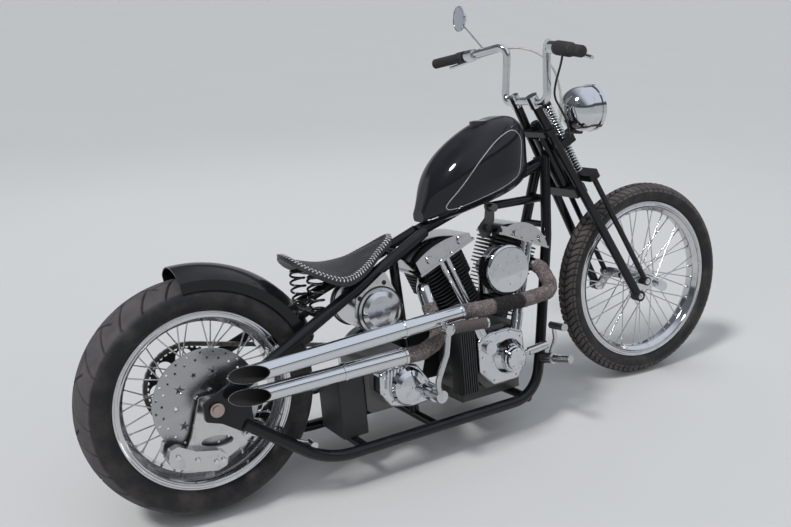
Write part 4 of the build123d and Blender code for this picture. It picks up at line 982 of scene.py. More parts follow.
# The machine's pieces
class ChopperPaint(bpy.types.PropertyGroup):
    """Colours of the painted pieces."""

    enamel: FloatVectorProperty(name="Enamel", description="Frame, fork and fender enamel",
                                subtype="COLOR", default=(0.006, 0.006, 0.007), min=0, max=1)
    tank: FloatVectorProperty(name="Tank", description="Fuel tank paint", subtype="COLOR",
                              default=(0.007, 0.0075, 0.01), min=0, max=1)


class ChopperTyres(bpy.types.PropertyGroup):
    """Sizes of the tyres' treads."""

    rear_repeats: IntProperty(name="Rear repeats", description="Tread patterns round the rear tyre",
                              default=14, min=8, max=60)
    front_repeats: IntProperty(name="Front repeats", description="Blocks round the front tyre",
                               default=86, min=20, max=140)
    groove: FloatProperty(name="Groove depth", description="Depth of the tread, in millimetres",
                          default=4.6, min=1, max=8)


class ChopperSprings(bpy.types.PropertyGroup):
    """Sizes of the fork's springs."""

    wire: FloatProperty(name="Wire radius", description="Fork spring wire, in millimetres",
                        default=2.5, min=1, max=5)
    turns: FloatProperty(name="Turns", description="Turns of each fork spring", default=12.5,
                         min=4, max=20)


class ChopperSeat(bpy.types.PropertyGroup):
    """Sizes of the seat."""

    border: FloatProperty(name="Border", description="Width of the laced border, in millimetres",
                          default=27.0, min=10, max=50)
    stitch: FloatProperty(name="Stitch step", description="Distance between stitches, millimetres",
                          default=11.5, min=4, max=20)


class ChopperStage(bpy.types.PropertyGroup):
    """The studio's light and floor."""

    floor: FloatVectorProperty(name="Floor", description="Floor colour", subtype="COLOR",
                               default=(0.56, 0.56, 0.55), min=0, max=1)
    sun: FloatProperty(name="Sun", description="Strength of the broad sun, in watts a square metre",
                       default=2.0, min=0, max=20)
    key: FloatProperty(name="Key light", description="Power of the key lamp, in watts",
                       default=22.0, min=0, max=4000)


GROUPS = {"chopper_paint": ChopperPaint, "chopper_tyres": ChopperTyres,
          "chopper_springs": ChopperSprings, "chopper_seat": ChopperSeat,
          "chopper_stage": ChopperStage}

# Pieces whose finish isn't that of their material slot
OWN_FINISH = {
    "exhaust_front": "exhaust_front", "exhaust_rear": "exhaust_rear", "kick_arm": "kick",
    "rear_sprocket": "sprocket", "rear_axle": "axle_nut", "rear_tyre": "rear_rubber",
    "front_tyre": "front_rubber", "rocker_boxes": "rocker_covers", "crankcase": "castings",
    "top_mount": "castings", "gearbox": "castings", "primary_cover": "primary",
    "oil_tank": "oil_can", "tank_cap": "fuel_cap",
}


class ChopperFinishes(bpy.types.Operator):
    """Give every CAD piece its finish"""

    bl_idname = "chopper.finishes"
    bl_label = "Finishes"

    def execute(self, context):
        finish_all(context.scene.chopper_paint)
        bodies = frame["record"]["behaviour"]["bodies"]
        for part in frame["record"]["subparts"]:
            node, slot = part["node"], part["material_slot"]
            label = OWN_FINISH.get(node, slot)
            if label == "chrome" and node in (*bodies["fork"], *bodies["front_wheel"]):
                label = "fork_chrome"
            for place in NODES[node].material_slots:
                place.material = FINISHES[label]
        return {"FINISHED"}


TYRES = (
    # name, body, axle, repeats, tread, finish, steps round, and the section's sizes
    ("rear_tyre", "rear_wheel", REAR_AXLE, "rear_repeats", road_rule, "rear_rubber", 880,
     {"radius": 327, "width": 180, "crown": 150, "edge_share": 0.86, "wrap": 0, "bead": 229,
      "rim_width": 144, "fine": 1.9, "coarse": 7.0}),
    ("front_tyre", "front_wheel", FRONT_AXLE, "front_repeats", block_rule, "front_rubber", 980,
     {"radius": 346, "width": 84, "crown": 46, "edge_share": 0.8, "wrap": 14, "bead": 266.5,
      "rim_width": 56, "fine": 1.6, "coarse": 3.0}),
)
FLANGE, RIM_WALL, WELL, SEAT_DEPTH = 16.0, 4.0, 15.0, 0.3


def tyre_section(radius, width, crown, edge_share, wrap, bead, rim_width, fine, coarse):
    """Give a closed tyre section as (across, radius, on the tread) points."""
    edge = edge_share * width / 2
    shoulder = radius - crown + math.sqrt(crown**2 - edge**2)
    foot = rim_width / 2 - RIM_WALL - SEAT_DEPTH
    lip = bead + FLANGE
    belly = lip + 0.45 * (shoulder - lip)
    wall = arc_through((edge, shoulder), (width / 2, belly), (foot, lip), coarse)
    left = arc_through((-foot, lip), (-width / 2, belly), (-edge, shoulder), coarse)
    tread = arc_through((-edge, shoulder), (0, radius), (edge, shoulder), fine)
    seat = bead + SEAT_DEPTH
    inner = [(foot, lip), (foot, seat), (0, seat), (-foot, seat)]
    edges = [(y, r, float(r > shoulder - wrap)) for y, r in wall[1:] + inner + left]
    rows = [(y, r, 1.0) for y, r in tread] + [(edge, shoulder, 1.0)] + edges
    return rows + rows[:1]


class ChopperTyreTreads(bpy.types.Operator):
    """Make both tyres with their treads"""

    bl_idname = "chopper.tyres"
    bl_label = "Tyres"

    def execute(self, context):
        sizes = context.scene.chopper_tyres
        for name, body, axle, repeats, rule, finish, steps, measures in TYRES:
            section = tyre_section(**measures)
            mesh = grown(tread_tree(name + " tread", rule), line_seed(section), finish,
                         Steps_round=steps, Section_points=len(section),
                         Groove_depth=sizes.groove, Repeats=getattr(sizes, repeats),
                         Tread_half_width=max(y for y, r, on in section if on))
            mesh.transform(Matrix.Translation(axle))
            piece(name + "_treaded", outward(mesh), body, finish, [name], sharp=30)
        return {"FINISHED"}


RIMS = (
    # name, body, axle, bead radius, width, and the spokes' hub radius, flange and rim offset
    ("rear", "rear_wheel", REAR_AXLE, 229.0, 144.0, 52, 40, 10),
    ("front", "front_wheel", FRONT_AXLE, 266.5, 56.0, 38, 34, 6),
)
RIM_STEPS = 180


def rim_section(bead, width):
    """Give a closed rim section: rolled lips, stepped flanges, bead seats and a well."""
    half, lip, inside = width / 2, bead + FLANGE, bead - RIM_WALL
    well = half * 0.45
    corners = [
        # across, radius, rounding
        (0, bead - WELL, 0), (well, bead - WELL, 6), (well + WELL, bead, 6),
        (half - RIM_WALL, bead, 1.2), (half - RIM_WALL, lip, 1.9), (half, lip, 1.9),
        (half, lip - 5, 0.8), (half - 1.5, lip - 6.5, 0.8), (half - 1.5, bead + 4, 0.8),
        (half, bead + 2, 0.8), (half, inside, 4.6), (well + WELL, inside, 8),
        (well, inside - WELL, 8), (0, inside - WELL, 0)]
    right = rounded([(y, 0, r) for y, r, _ in corners], [bend for _, _, bend in corners[1:-1]], 1.3)
    left = [Vector((-p.x, 0, p.z)) for p in reversed(right)]
    return right + left[1:-1]


class ChopperRims(bpy.types.Operator):
    """Roll both rims, with their lips and wells"""

    bl_idname = "chopper.rims"
    bl_label = "Rims"

    def execute(self, context):
        for name, body, axle, bead, width, *_ in RIMS:
            section = rim_section(bead, width)
            shape = Shape()
            shape.skin([[axle + Vector((p.z * math.cos(t), p.x, p.z * math.sin(t)))
                         for p in section] for t in turns(RIM_STEPS)], looped=True)
            piece(name + "_rim_rolled", shape.mesh(name), body, "rim_chrome",
                  [name + "_rim"], sharp=30)
        return {"FINISHED"}


DISC_R, DISC_T, DISC_Y, DISC_BORE, DISC_BEVEL = 146.0, 5.0, 72.0, 13.6, 0.4
DISC_HOLES = (
    # ring radius, count, turn in degrees, and the radii of a hole's corners
    (DISC_R - 10, 24, 0.0, [3.9] * 14), (DISC_R - 26, 24, 7.5, [3.9] * 14),
    (84, 5, 0.0, [16.4, 6.6] * 5), (84, 5, 36.0, [10.6, 4.3] * 5),
)


class ChopperBrakeDisc(bpy.types.Operator):
    """Cut the brake disc with its drilled holes and stars"""

    bl_idname = "chopper.brake_disc"
    bl_label = "Brake disc"

    def execute(self, context):
        curve = bpy.data.curves.new("disc_outline", "CURVE")
        curve.dimensions, curve.fill_mode = "2D", "BOTH"
        curve.extrude = DISC_T / 2 - DISC_BEVEL
        curve.bevel_depth, curve.bevel_resolution = DISC_BEVEL, 1
        self.loop(curve, (0, 0), [DISC_R - DISC_BEVEL] * 180)
        self.loop(curve, (0, 0), [DISC_BORE] * 40)
        for ring, count, shift, radii in DISC_HOLES:
            for turn in (math.radians(shift + k * 360 / count) for k in range(count)):
                self.loop(curve, (ring * math.cos(turn), ring * math.sin(turn)), radii, turn)
        holder = linked("disc_outline", curve)
        mesh = plain_mesh(holder)
        bpy.data.objects.remove(holder)
        mesh.transform(Matrix.Translation(REAR_AXLE - LEFT * (DISC_Y + DISC_T / 2))
                       @ Matrix.Rotation(math.pi / 2, 4, "X"))
        piece("brake_disc_cut", outward(mesh, 0.01), "rear_wheel", "disc_steel",
              ["brake_disc"], sharp=12)
        return {"FINISHED"}

    def loop(self, curve, centre, radii, first=0.0):
        """Add a closed outline whose corners lie at the radii in turn."""
        spline = curve.splines.new("POLY")
        spline.points.add(len(radii) - 1)
        spline.use_cyclic_u = True
        for point, radius, t in zip(spline.points, radii, turns(len(radii), first)):
            point.co = (centre[0] + radius * math.cos(t), centre[1] + radius * math.sin(t), 0, 1)


class ChopperAirCleaner(bpy.types.Operator):
    """Turn the round air cleaner with its mirror face"""

    bl_idname = "chopper.air_cleaner"
    bl_label = "Air cleaner"

    def execute(self, context):
        face_r, face_y, edge_r = 68.5, 161, 9.5
        cup = [(108, 0.4), (108, 70), (112, 74), (139, 74), (140.5, 75.5), (141.5, 77.4),
               (144, 78), (160, 78)]
        edge = [(face_y + edge_r * math.sin(t), face_r + edge_r * math.cos(t))
                for t in (math.pi / 2 * k / 6 for k in range(1, 7))]
        dome = [(face_y + edge_r + 6.4 * (1 - (r / face_r) ** 2), r) for r in (56, 42, 28, 14, 0.4)]
        shape = Shape()
        shape.turned(AIR_CLEANER, (0, -1, 0), cup + edge + dome, 96)
        piece("air_cleaner_cup", shape.mesh("air_cleaner"), "frame", "chrome",
              ["air_cleaner"], sharp=35)
        return {"FINISHED"}


SPRING_AHEAD, SPRING_SIDE, SPRING_R = 56.0, 22.0, 13.6
SPRING_SPANS = ((-225.0, -110.0), (-82.0, 30.0))
SEAT_SPRING_FOOT = Vector((352, 62, 502))


class ChopperSpringCoils(bpy.types.Operator):
    """Wind the fork's four springs and the seat's two"""

    bl_idname = "chopper.springs"
    bl_label = "Springs"

    def execute(self, context):
        sizes = context.scene.chopper_springs
        tree = coil_tree()
        coils = []
        for low, high in SPRING_SPANS:
            for side in (SPRING_SIDE, -SPRING_SIDE):
                stand = Matrix((AHEAD, LEFT, UP)).transposed().to_4x4()
                stand.translation = fork_point(SPRING_AHEAD, side, low)
                coils.append(self.wound(tree, stand, Height=high - low, Turns=sizes.turns,
                                        Wire_radius=sizes.wire, Radius=SPRING_R))
        piece("fork_spring_coils", outward(one_mesh(coils, "coils")), "fork",
              "spring_steel", ["fork_springs"])
        seat = rays_at("frame", "seat")
        coils = []
        for side in (1, -1):
            foot = Vector((SEAT_SPRING_FOOT.x, side * SEAT_SPRING_FOOT.y, SEAT_SPRING_FOOT.z))
            top, _ = met(seat, foot + Vector((0, 0, 20)), (0, 0, 1))
            coils.append(self.wound(tree, Matrix.Translation(foot), Height=top.z - foot.z - 1,
                                    Turns=6.0, Wire_radius=3.6, Radius=16.0, Belly=6.0))
        piece("seat_spring_coils", outward(one_mesh(coils, "coils")), "frame",
              "seat_spring", ["seat_springs"])
        return {"FINISHED"}

    def wound(self, tree, place, **sizes):
        """Wind one spring and stand it in its place."""
        mesh = grown(tree, line_seed([(0, 0, 0), (0, 0, 1)]), "spring_steel", **sizes)
        mesh.transform(place)
        return mesh


PIPES = (
    # name, header route, its bends' radii, the open end, and where on the header the tape starts
    ("exhaust_front",
     [(1080, -30, 522), (1114, -112, 496), (1116, -168, 428), (988, -172, 422), (732, -214, 444)],
     [45, 40, 120], (20, -223, 417), 0.14),
    ("exhaust_rear",
     [(722, -40, 520), (690, -85, 500), (690, -160, 362), (600, -196, 350), (544, -200, 354)],
     [30, 60, 60], (20, -200, 352), 0.3),
)


class ChopperExhaustWrap(bpy.types.Operator):
    """Wind the heat tape on both header pipes"""

    bl_idname = "chopper.wrap"
    bl_label = "Exhaust wrap"

    def execute(self, context):
        tree = wrap_tree()
        for name, route, bends, _, start in PIPES:
            points = [p for p, _ in spaced(rounded(route, bends), 3.0)]
            mesh = grown(tree, line_seed(points[int(start * len(points)):]), "wrap")
            piece(name.replace("exhaust", "heat_wrap"), mesh, "frame", "wrap",
                  sharp=60)
        return {"FINISHED"}


SEAT_ROWS = (
    # x, half width, height of the middle, drop of the edges
    (282, 56, 668, 6), (345, 112, 636, 22), (415, 132, 616, 34), (490, 104, 620, 28),
    (570, 58, 643, 14), (640, 27, 670, 5),
)
SEAT_MIDDLE, SEAT_TAIL, SEAT_NOSE = 452, 34.0, 26.0
SEAT_STEPS, SEAT_POINTS = 9, 60
PAD_INSET, PAD_LIFT, PAD_PUFF, PAN_DEPTH, PAN_INSET = 5, 0.8, 7.5, 15, 3
LACE_ROWS = (
    # inset from the seat's rim, and how far a stitch slants
    (3.0, 2.6), (11.0, -1.5),
)


def seat_row(x):
    """Give the seat's half width, middle height and edge drop at a place along it."""
    rows = SEAT_ROWS
    x = min(max(x, rows[0][0]), rows[-1][0])
    leg = max(k for k in range(len(rows) - 1) if rows[k][0] <= x)
    a, b = rows[leg], rows[leg + 1]
    before = rows[max(leg - 1, 0)]
    after = rows[min(leg + 2, len(rows) - 1)]
    t = (x - a[0]) / (b[0] - a[0])
    out = []
    for k in (1, 2, 3):
        m0 = (b[k] - before[k]) / (b[0] - before[0]) * (b[0] - a[0])
        m1 = (after[k] - a[k]) / (after[0] - a[0]) * (b[0] - a[0])
        out.append((2 * t**3 - 3 * t**2 + 1) * a[k] + (t**3 - 2 * t**2 + t) * m0
                   + (-2 * t**3 + 3 * t**2) * b[k] + (t**3 - t**2) * m1)
    return out


def seat_outline(inset):
    """Give the seat's rim as a closed loop, inset on the surface."""
    first, last = SEAT_ROWS[0][0] + inset, SEAT_ROWS[-1][0] - inset
    right, left = [], []
    for k in range(SEAT_POINTS + 1):
        x = first + (last - first) * (0.5 - 0.5 * math.cos(math.pi * k / SEAT_POINTS))
        half, high, drop = seat_row(x)
        tail = math.sqrt(max(0.0, 1 - max(0.0, 1 - (x - first) / SEAT_TAIL) ** 2))
        nose = math.sqrt(max(0.0, 1 - max(0.0, 1 - (last - x) / SEAT_NOSE) ** 2))
        share = max(0.0, (half - inset) / half) * tail * nose
        right.append(Vector((x, -share * half, high - drop * share * share)))
        left.append(Vector((x, share * half, high - drop * share * share)))
    return right + left[-2:0:-1]


def seat_ring(inset, shrink, lift):
    """Give the seat's rim drawn in towards the middle, on the surface or above or below it."""
    ring = []
    for p in seat_outline(inset):
        x, y = SEAT_MIDDLE + (p.x - SEAT_MIDDLE) * shrink, p.y * shrink
        half, high, drop = seat_row(x)
        ring.append(Vector((x, y, high - drop * (y / half) ** 2 + lift)))
    return ring


class ChopperSeatPad(bpy.types.Operator):
    """Make the leather seat: pan, laced border and a blown-up pad"""

    bl_idname = "chopper.seat"
    bl_label = "Seat"

    def execute(self, context):
        sizes = context.scene.chopper_seat
        rims = ((1.5, 13), (0, 9), (-0.8, 5), (0, 1), (2.5, -2.2), (6.5, -4.6), (12, -5.6),
                (17.5, -4.8), (22, -2.6), (sizes.border - 2.5, 0.4), (sizes.border, 2.2),
                (sizes.border + 2, 1.4), (sizes.border + PAD_INSET, -PAD_LIFT))
        shell = Shape()
        under = [seat_ring(PAN_INSET, k / SEAT_STEPS, -PAN_DEPTH)
                 for k in range(1, SEAT_STEPS + 1)]
        rings = [[p - Vector((0, 0, down)) for p in seat_outline(inset)] for inset, down in rims]
        pad = [seat_ring(sizes.border + PAD_INSET, shrink, PAD_LIFT + PAD_PUFF * (1 - shrink**2.2))
               for shrink in (1 - k / SEAT_STEPS for k in range(1, SEAT_STEPS))]
        shell.skin(under + rings + pad)
        mesh = shell.mesh("seat_pad")
        top = BVHTree.FromPolygons([v.co for v in mesh.vertices],
                                   [list(face.vertices) for face in mesh.polygons])
        made = piece("seat_pad", mesh, "frame", "seat_leather", ["seat"],
                     sharp=50)
        self.lacing(top, sizes.stitch)
        seam = Shape()
        for inset, down, radius, sides in ((sizes.border, 2.4, 1.3, 8), (0.8, 9.5, 2.6, 10)):
            seam.tube([p - Vector((0, 0, down)) for p in smooth_loop(seat_outline(inset), 1)],
                      radius, sides)
        piece("seat_welts", seam.mesh("welts"), "frame", "seat_leather")
        return {"FINISHED"}

    def lacing(self, top, step):
        """Lay two rows of slanted stitches along the border."""
        points, facings, alongs = [], [], []
        for inset, slant in LACE_ROWS:
            for spot, heading in spaced(seat_outline(inset), step, True):
                at, normal = met(top, spot + Vector((0, 0, 40)), (0, 0, -1))
                side = normal.cross(heading).normalized()
                points.append(at + normal * 0.3)
                facings.append(normal)
                alongs.append((heading + side * slant).normalized())
        seed = line_seed(points, facing=facings, along=alongs)
        lace = grown(studs_tree("lacing", stitch_part), seed, "lacing", Radius=2.25)
        piece("seat_lacing", outward(lace, 1e-5), "frame", "lacing")


PANEL = (
    # the tank's silver line, as (x, z) seen from its side
    (1054, 940), (1074, 920), (1079, 898), (1071, 849), (1058, 800), (1041, 788), (986, 764),
    (900, 741), (822, 721), (800, 726), (804, 743), (843, 784), (876, 821), (911, 860), (973, 911),
    (1023, 935),
)
LINE_HALF, LINE_LIFT, LINE_STEP = 1.6, 0.35, 5.0


class ChopperPinstripe(bpy.types.Operator):
    """Lay the silver line on both sides of the tank"""

    bl_idname = "chopper.pinstripe"
    bl_label = "Pinstripe"

    def execute(self, context):
        tank = rays_at("frame", "fuel_tank")
        loop = smooth_loop([(x, 0, z) for x, z in PANEL], 3)
        for name, side in (("pinstripe_right", -1), ("pinstripe_left", 1)):
            path = [met(tank, spot + Vector((0, side * 300, 0)), (0, -side, 0))
                    for spot, _ in spaced(loop, LINE_STEP, True)]
            rings = []
            for k, (at, normal) in enumerate(path):
                ahead = (path[(k + 1) % len(path)][0] - path[k - 1][0]).normalized()
                wide = ahead.cross(normal).normalized() * LINE_HALF
                lift = normal * LINE_LIFT
                rings.append([at - wide - lift, at - wide * 0.8 + lift, at + wide * 0.8 + lift,
                              at + wide - lift])
            shape = Shape()
            shape.skin(rings, looped=True)
            piece(name, shape.mesh(name), "frame", "pinstripe")
        return {"FINISHED"}


class ChopperGrips(bpy.types.Operator):
    """Mould the ribbed hand grips and the kick pedal's rubber"""

    bl_idname = "chopper.grips"
    bl_label = "Grips"

    def execute(self, context):
        tree = sleeve_tree()
        for word, side, swell, swell_end in (("left", 1, 2.4, 0.2), ("right", -1, 4.2, 0.52)):
            line = [(1123, side * 260, 1174.6), (1088, side * 414, 1158)]
            mesh = grown(tree, line_seed(line), "grip_rubber", Radius=17.0, Swell=swell,
                         Swell_end=swell_end)
            made = piece("grip_" + word, outward(mesh), "fork", "grip_rubber")
            if side > 0:
                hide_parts("grips")
        mesh = grown(tree, line_seed([(787, -253.7, 408.5), (679, -250.2, 415.7)]), "pedal_rubber",
                     Radius=16.8, Swell=0.0, Swell_end=0.5, Ribs=13.0, Rib_depth=1.3)
        piece("kick_pedal_rubber", outward(mesh), "frame", "pedal_rubber")
        return {"FINISHED"}


CABLE_WIDTH = 7.0
CABLES = (
    # name, length in millimetres, points from a lever's perch down to the spring perch
    ("clutch_cable", 498.0,
     ((1157, 236, 1168), (1186, 190, 1178), (1216, 120, 1192), (1250, 62, 1182),
      (1284, 26, 1152), (1306, 6, 1110), (1318, 0, 1060), (1322, -4, 1010), (1318, -6, 960),
      (1308, -4, 922))),
    ("throttle_cable", 379.0,
     ((1160, -236, 1168), (1166, -220, 1138), (1182, -180, 1102), (1210, -124, 1066),
      (1244, -70, 1024), (1272, -72, 980), (1290, -80, 930), (1296, -76, 892))),
)


class ChopperCables(bpy.types.Operator):
    """Hang the clutch and throttle cables between the bars and the fork"""

    bl_idname = "chopper.cables"
    bl_label = "Cables"

    def execute(self, context):
        for name, length, route in CABLES:
            curve = bpy.data.curves.new(name, "CURVE")
            curve.dimensions = "3D"
            curve.bevel_depth = CABLE_WIDTH / 2 * MM
            curve.bevel_resolution = 3
            curve.resolution_u = 10
            curve.use_fill_caps = True
            points = [PLACES["fork"] @ Vector(p) for p in route]
            spline = curve.splines.new("NURBS")
            spline.points.add(len(points) - 1)
            for control, point in zip(spline.points, points):
                control.co = (*point, 1)
            spline.order_u = 3
            spline.use_endpoint_u = True
            curve.materials.append(FINISHES[name])
            made = linked(name, curve)
            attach(made, "fork")
            if name == "clutch_cable":
                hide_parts("control_cables")
        return {"FINISHED"}


class ChopperFuelCap(bpy.types.Operator):
    """Turn the tank's filler cap"""

    bl_idname = "chopper.fuel_cap"
    bl_label = "Fuel cap"

    def execute(self, context):
        shape = Shape()
        shape.turned(CAP, (0, 0, 1), [
            (-20, 30), (-2, 33.4), (7.5, 34), (10.6, 33), (11.4, 31), (10.2, 29.4), (10.2, 27),
            (12.6, 24.8), (13.6, 14), (14, 0.4)], 72)
        piece("fuel_cap", shape.mesh("cap"), "frame", "fuel_cap", ["tank_cap"])
        return {"FINISHED"}


LENS_R, LENS_DOME, LENS_ROWS, LENS_STEPS = 69.0, 9.0, 14, 96
LENS_BACK, LENS_BACK_R, LENS_FRONT = 50, 60, 52.5
FLUTE_DEPTH, FLUTE_RATE = 0.5, 0.75


class ChopperGlass(bpy.types.Operator):
    """Set the lamp's lens and the mirror's glass"""

    bl_idname = "chopper.glass"
    bl_label = "Lamp and mirror glass"

    def execute(self, context):
        rings = [[LAMP + Vector((LENS_BACK, LENS_BACK_R * math.cos(t), LENS_BACK_R * math.sin(t)))
                  for t in turns(LENS_STEPS)]]
        for share in (k / LENS_ROWS for k in range(LENS_ROWS + 1)):
            radius = LENS_R * (1 - share) + 0.6 * share
            dome = LENS_DOME * math.cos(radius / LENS_R * math.pi / 2)
            ring = []
            for t in turns(LENS_STEPS):
                y, z = radius * math.cos(t), radius * math.sin(t)
                flute = FLUTE_DEPTH * math.sin(y * FLUTE_RATE)
                flute *= (1 - share) * min(1.0, share * 8)
                ring.append(LAMP + Vector((LENS_FRONT + dome + flute, y, z)))
            rings.append(ring)
        lens = Shape()
        lens.skin(rings)
        piece("headlight_lens", lens.mesh("lens"), "fork", "lens")
        face = Shape()
        face.turned(MIRROR - MIRROR_BACK * 6, -MIRROR_BACK,
                    [(-0.5, 38.5), (0.4, 38.5), (0.9, 37.8), (1.1, 30), (1.2, 0.4)])
        face.turned(MIRROR - MIRROR_BACK * 4, -MIRROR_BACK,
                    [(-2, 42.6), (2.6, 42.6), (3.6, 41.6), (3.6, 39.4), (2.2, 38.6), (-2, 38.6)])
        piece("mirror_glass", face.mesh("mirror_face"), "fork", "mirror")
        return {"FINISHED"}


FROM_RIGHT, FROM_LEFT = (0, 1, 0), (0, -1, 0)
FORK_PIVOTS = [(spot.x, spot.z) for spot in (fork_point(0, 0, -700), fork_point(56, 0, -679))]
FORK_EYES = ("fork_rear_legs", "fork_spring_legs")
PRIMARY_ARCS = [
    (x + radius * math.cos(t), z + radius * math.sin(t))
    for x, z, radius, first, last, count in (
        (922, 222, 68, -1.5, 1.5, 5), (610, 258, 93, 1.7, 4.6, 6))
    for t in (first + (last - first) * k / (count - 1) for k in range(count))]
SCREWS = (
    # name, body, CAD nodes they sit on, kind, radius, height, ray, and (x, z) seen from a side
    ("cam_cover_screws", "frame", ("cam_cover",), "cap", 5.0, 4.0, FROM_RIGHT,
     [(848, 318), (846, 262), (848, 216), (884, 180), (968, 180), (994, 216), (992, 300),
      (950, 326), (902, 327)]),
    ("cam_nose_screws", "frame", ("cam_cover",), "cap", 3.4, 2.6, FROM_RIGHT,
     ring_row(942, 247, 26, 5, 0.3)),
    ("kicker_cover_screws", "frame", ("kicker_cover",), "cap", 4.6, 3.6, FROM_RIGHT,
     [(500, 282), (498, 232), (524, 204), (596, 188), (656, 206), (600, 292), (560, 300)]),
    ("air_cleaner_screws", "frame", ("air_cleaner",), "cap", 4.0, 2.6, FROM_RIGHT,
     ring_row(948, 524, 44, 3, 0.5)),
    ("oil_bracket_screws", "frame", ("oil_tank_bracket",), "cap", 7.0, 1.6, FROM_RIGHT,
     [(556, 549), (473, 517)]),
    ("primary_screws", "frame", ("primary_cover",), "cap", 4.6, 3.6, FROM_LEFT,
     PRIMARY_ARCS + [(720, 337), (810, 316), (720, 166), (810, 160)]),
    ("derby_screws", "frame", ("primary_cover",), "cap", 4.0, 3.0, FROM_LEFT,
     ring_row(610, 258, 48, 5)),
    ("caliper_screws", "frame", ("rear_caliper",), "cap", 6.5, 6.0, FROM_RIGHT,
     [(-108, 218), (-60, 196), (-12, 178), (8, 178), (88, 222)]),
    ("disc_screws", "rear_wheel", ("brake_disc",), "hex", 5.5, 4.5, FROM_RIGHT,
     ring_row(0, 327, 34, 5)),
    ("sprocket_screws", "rear_wheel", ("rear_sprocket",), "hex", 6.0, 5.0, FROM_LEFT,
     ring_row(0, 327, 36, 5)),
    ("gearbox_screws", "frame", ("gearbox",), "hex", 5.0, 4.0, FROM_LEFT,
     [(488, 180), (488, 312), (620, 180), (620, 312)]),
    ("crankcase_screws", "frame", ("crankcase",), "hex", 5.5, 5.0, FROM_LEFT,
     [(838, 270), (846, 150), (1000, 150), (1010, 270)]),
    ("fork_nuts_right", "fork", FORK_EYES, "hex", 7.5, 5.0, FROM_RIGHT, FORK_PIVOTS),
    ("fork_nuts_left", "fork", FORK_EYES, "hex", 7.5, 5.0, FROM_LEFT, FORK_PIVOTS),
)
CRANK = Vector((922, 0, 222))
CYLINDER_LEAN = math.radians(22.5)
BOX_MIDDLE, BOX_HALF, ABOVE_BOX = -29, 76, 480
SPOKES_A_SIDE, SPOKES_CROSSED = 20, 3
SPOKE_STEP = math.tau / SPOKES_A_SIDE
SPOKE_SEAT, OFF_FLANGE, OFF_RIM, NIPPLE_SUNK = 19.9, 5.9, 3, 0.5


class ChopperFasteners(bpy.types.Operator):
    """Set screws on the covers, the rocker boxes and the wheels"""

    bl_idname = "chopper.fasteners"
    bl_label = "Fasteners"

    def execute(self, context):
        trees = {"cap": studs_tree("socket screws", cap_part),
                 "hex": studs_tree("hexagon screws", screw_part)}
        for name, body, nodes, kind, radius, height, heading, spots in SCREWS:
            surface = rays_at(body, *nodes)
            found = [met(surface, (x, -heading[1] * 400, z), heading) for x, z in spots]
            self.set_down(name, body, trees[kind], found, radius, height)
        self.rocker_screws(trees["cap"])
        self.nipples(studs_tree("spoke nipples", nipple_part))
        return {"FINISHED"}

    def set_down(self, name, body, tree, found, radius, height):
        """Set one screw at every (point, facing)."""
        points, facings = zip(*found)
        seed = line_seed(points, facing=facings,
                         along=[Vector(f).orthogonal().normalized() for f in facings])
        mesh = grown(tree, seed, "fasteners", Radius=radius, Height=height)
        slot = "rim_chrome" if "nipple" in name else "chrome"
        finish = "dark_screws" if "bracket" in name else "fasteners"
        piece(name, outward(mesh, 1e-5), body, finish, sharp=30)

    def rocker_screws(self, tree):
        """Set screws down the lips of both rocker boxes."""
        surface = rays_at("frame", "rocker_boxes")
        found = []
        for lean in (CYLINDER_LEAN, -CYLINDER_LEAN):
            up = Vector((math.sin(lean), 0, math.cos(lean)))
            along = Vector((math.cos(lean), 0, -math.sin(lean)))
            for reach in (-62, -22, 22, 62):
                for side in (-1, 1):
                    above = (CRANK + up * ABOVE_BOX + along * reach
                             + Vector((0, BOX_MIDDLE + side * BOX_HALF, 0)))
                    found.append((met(surface, above, -up)[0], up))
        self.set_down("rocker_screws", "frame", tree, found, 4.0, 3.4)

    def nipples(self, tree):
        """Set a nipple where each spoke meets its rim."""
        for name, body, axle, bead, _, hub_r, flange, rim_y in RIMS:
            rim_r = bead - SPOKE_SEAT
            found = []
            for side in (1, -1):
                for number in range(SPOKES_A_SIDE):
                    outside = 1 if number % 2 else -1
                    start = SPOKE_STEP * (number + (0.5 if side < 0 else 0))
                    finish = start + outside * SPOKES_CROSSED * SPOKE_STEP
                    near = Vector((hub_r * math.cos(start), side * (flange + outside * OFF_FLANGE),
                                   hub_r * math.sin(start)))
                    far = Vector((rim_r * math.cos(finish), side * (rim_y + outside * OFF_RIM),
                                  rim_r * math.sin(finish)))
                    inward = (near - far).normalized()
                    found.append((axle + far + inward * NIPPLE_SUNK, inward))
            self.set_down(name + "_nipples", body, tree, found, 3.4, 11.0)


# The studio
SCREEN_TOWARD = Vector((0.75, -0.25, 0.61)).normalized()
FLOOR_REACH = 90.0
SUN_FROM, SUN_WIDTH = (-2.6, -0.4, 4.2), math.radians(11)
SOFT_BOXES = (
    # name, place, aim, size, and share of the key light's power
    ("key", (-2.4, -1.8, 2.6), (0, 0, 0.5), (3.6, 2.0), 1.0),
    ("fill", (2.6, -2.8, 1.5), (0.3, 0, 0.5), (2.8, 2.0), 0.6),
    ("rear", (0.6, 3.0, 2.6), (0, 0, 0.5), (4.4, 1.4), 1.0),
)
CAMERA_FROM_AXLE = Vector((-0.579, -2.075, 1.1474))
YAW, PITCH, ROLL = math.radians(59.9), math.radians(-20.2), math.radians(-0.18)
SENSOR, FOCAL_PIXELS, PHOTO_PIXELS = 36.0, 860.0, 791.0


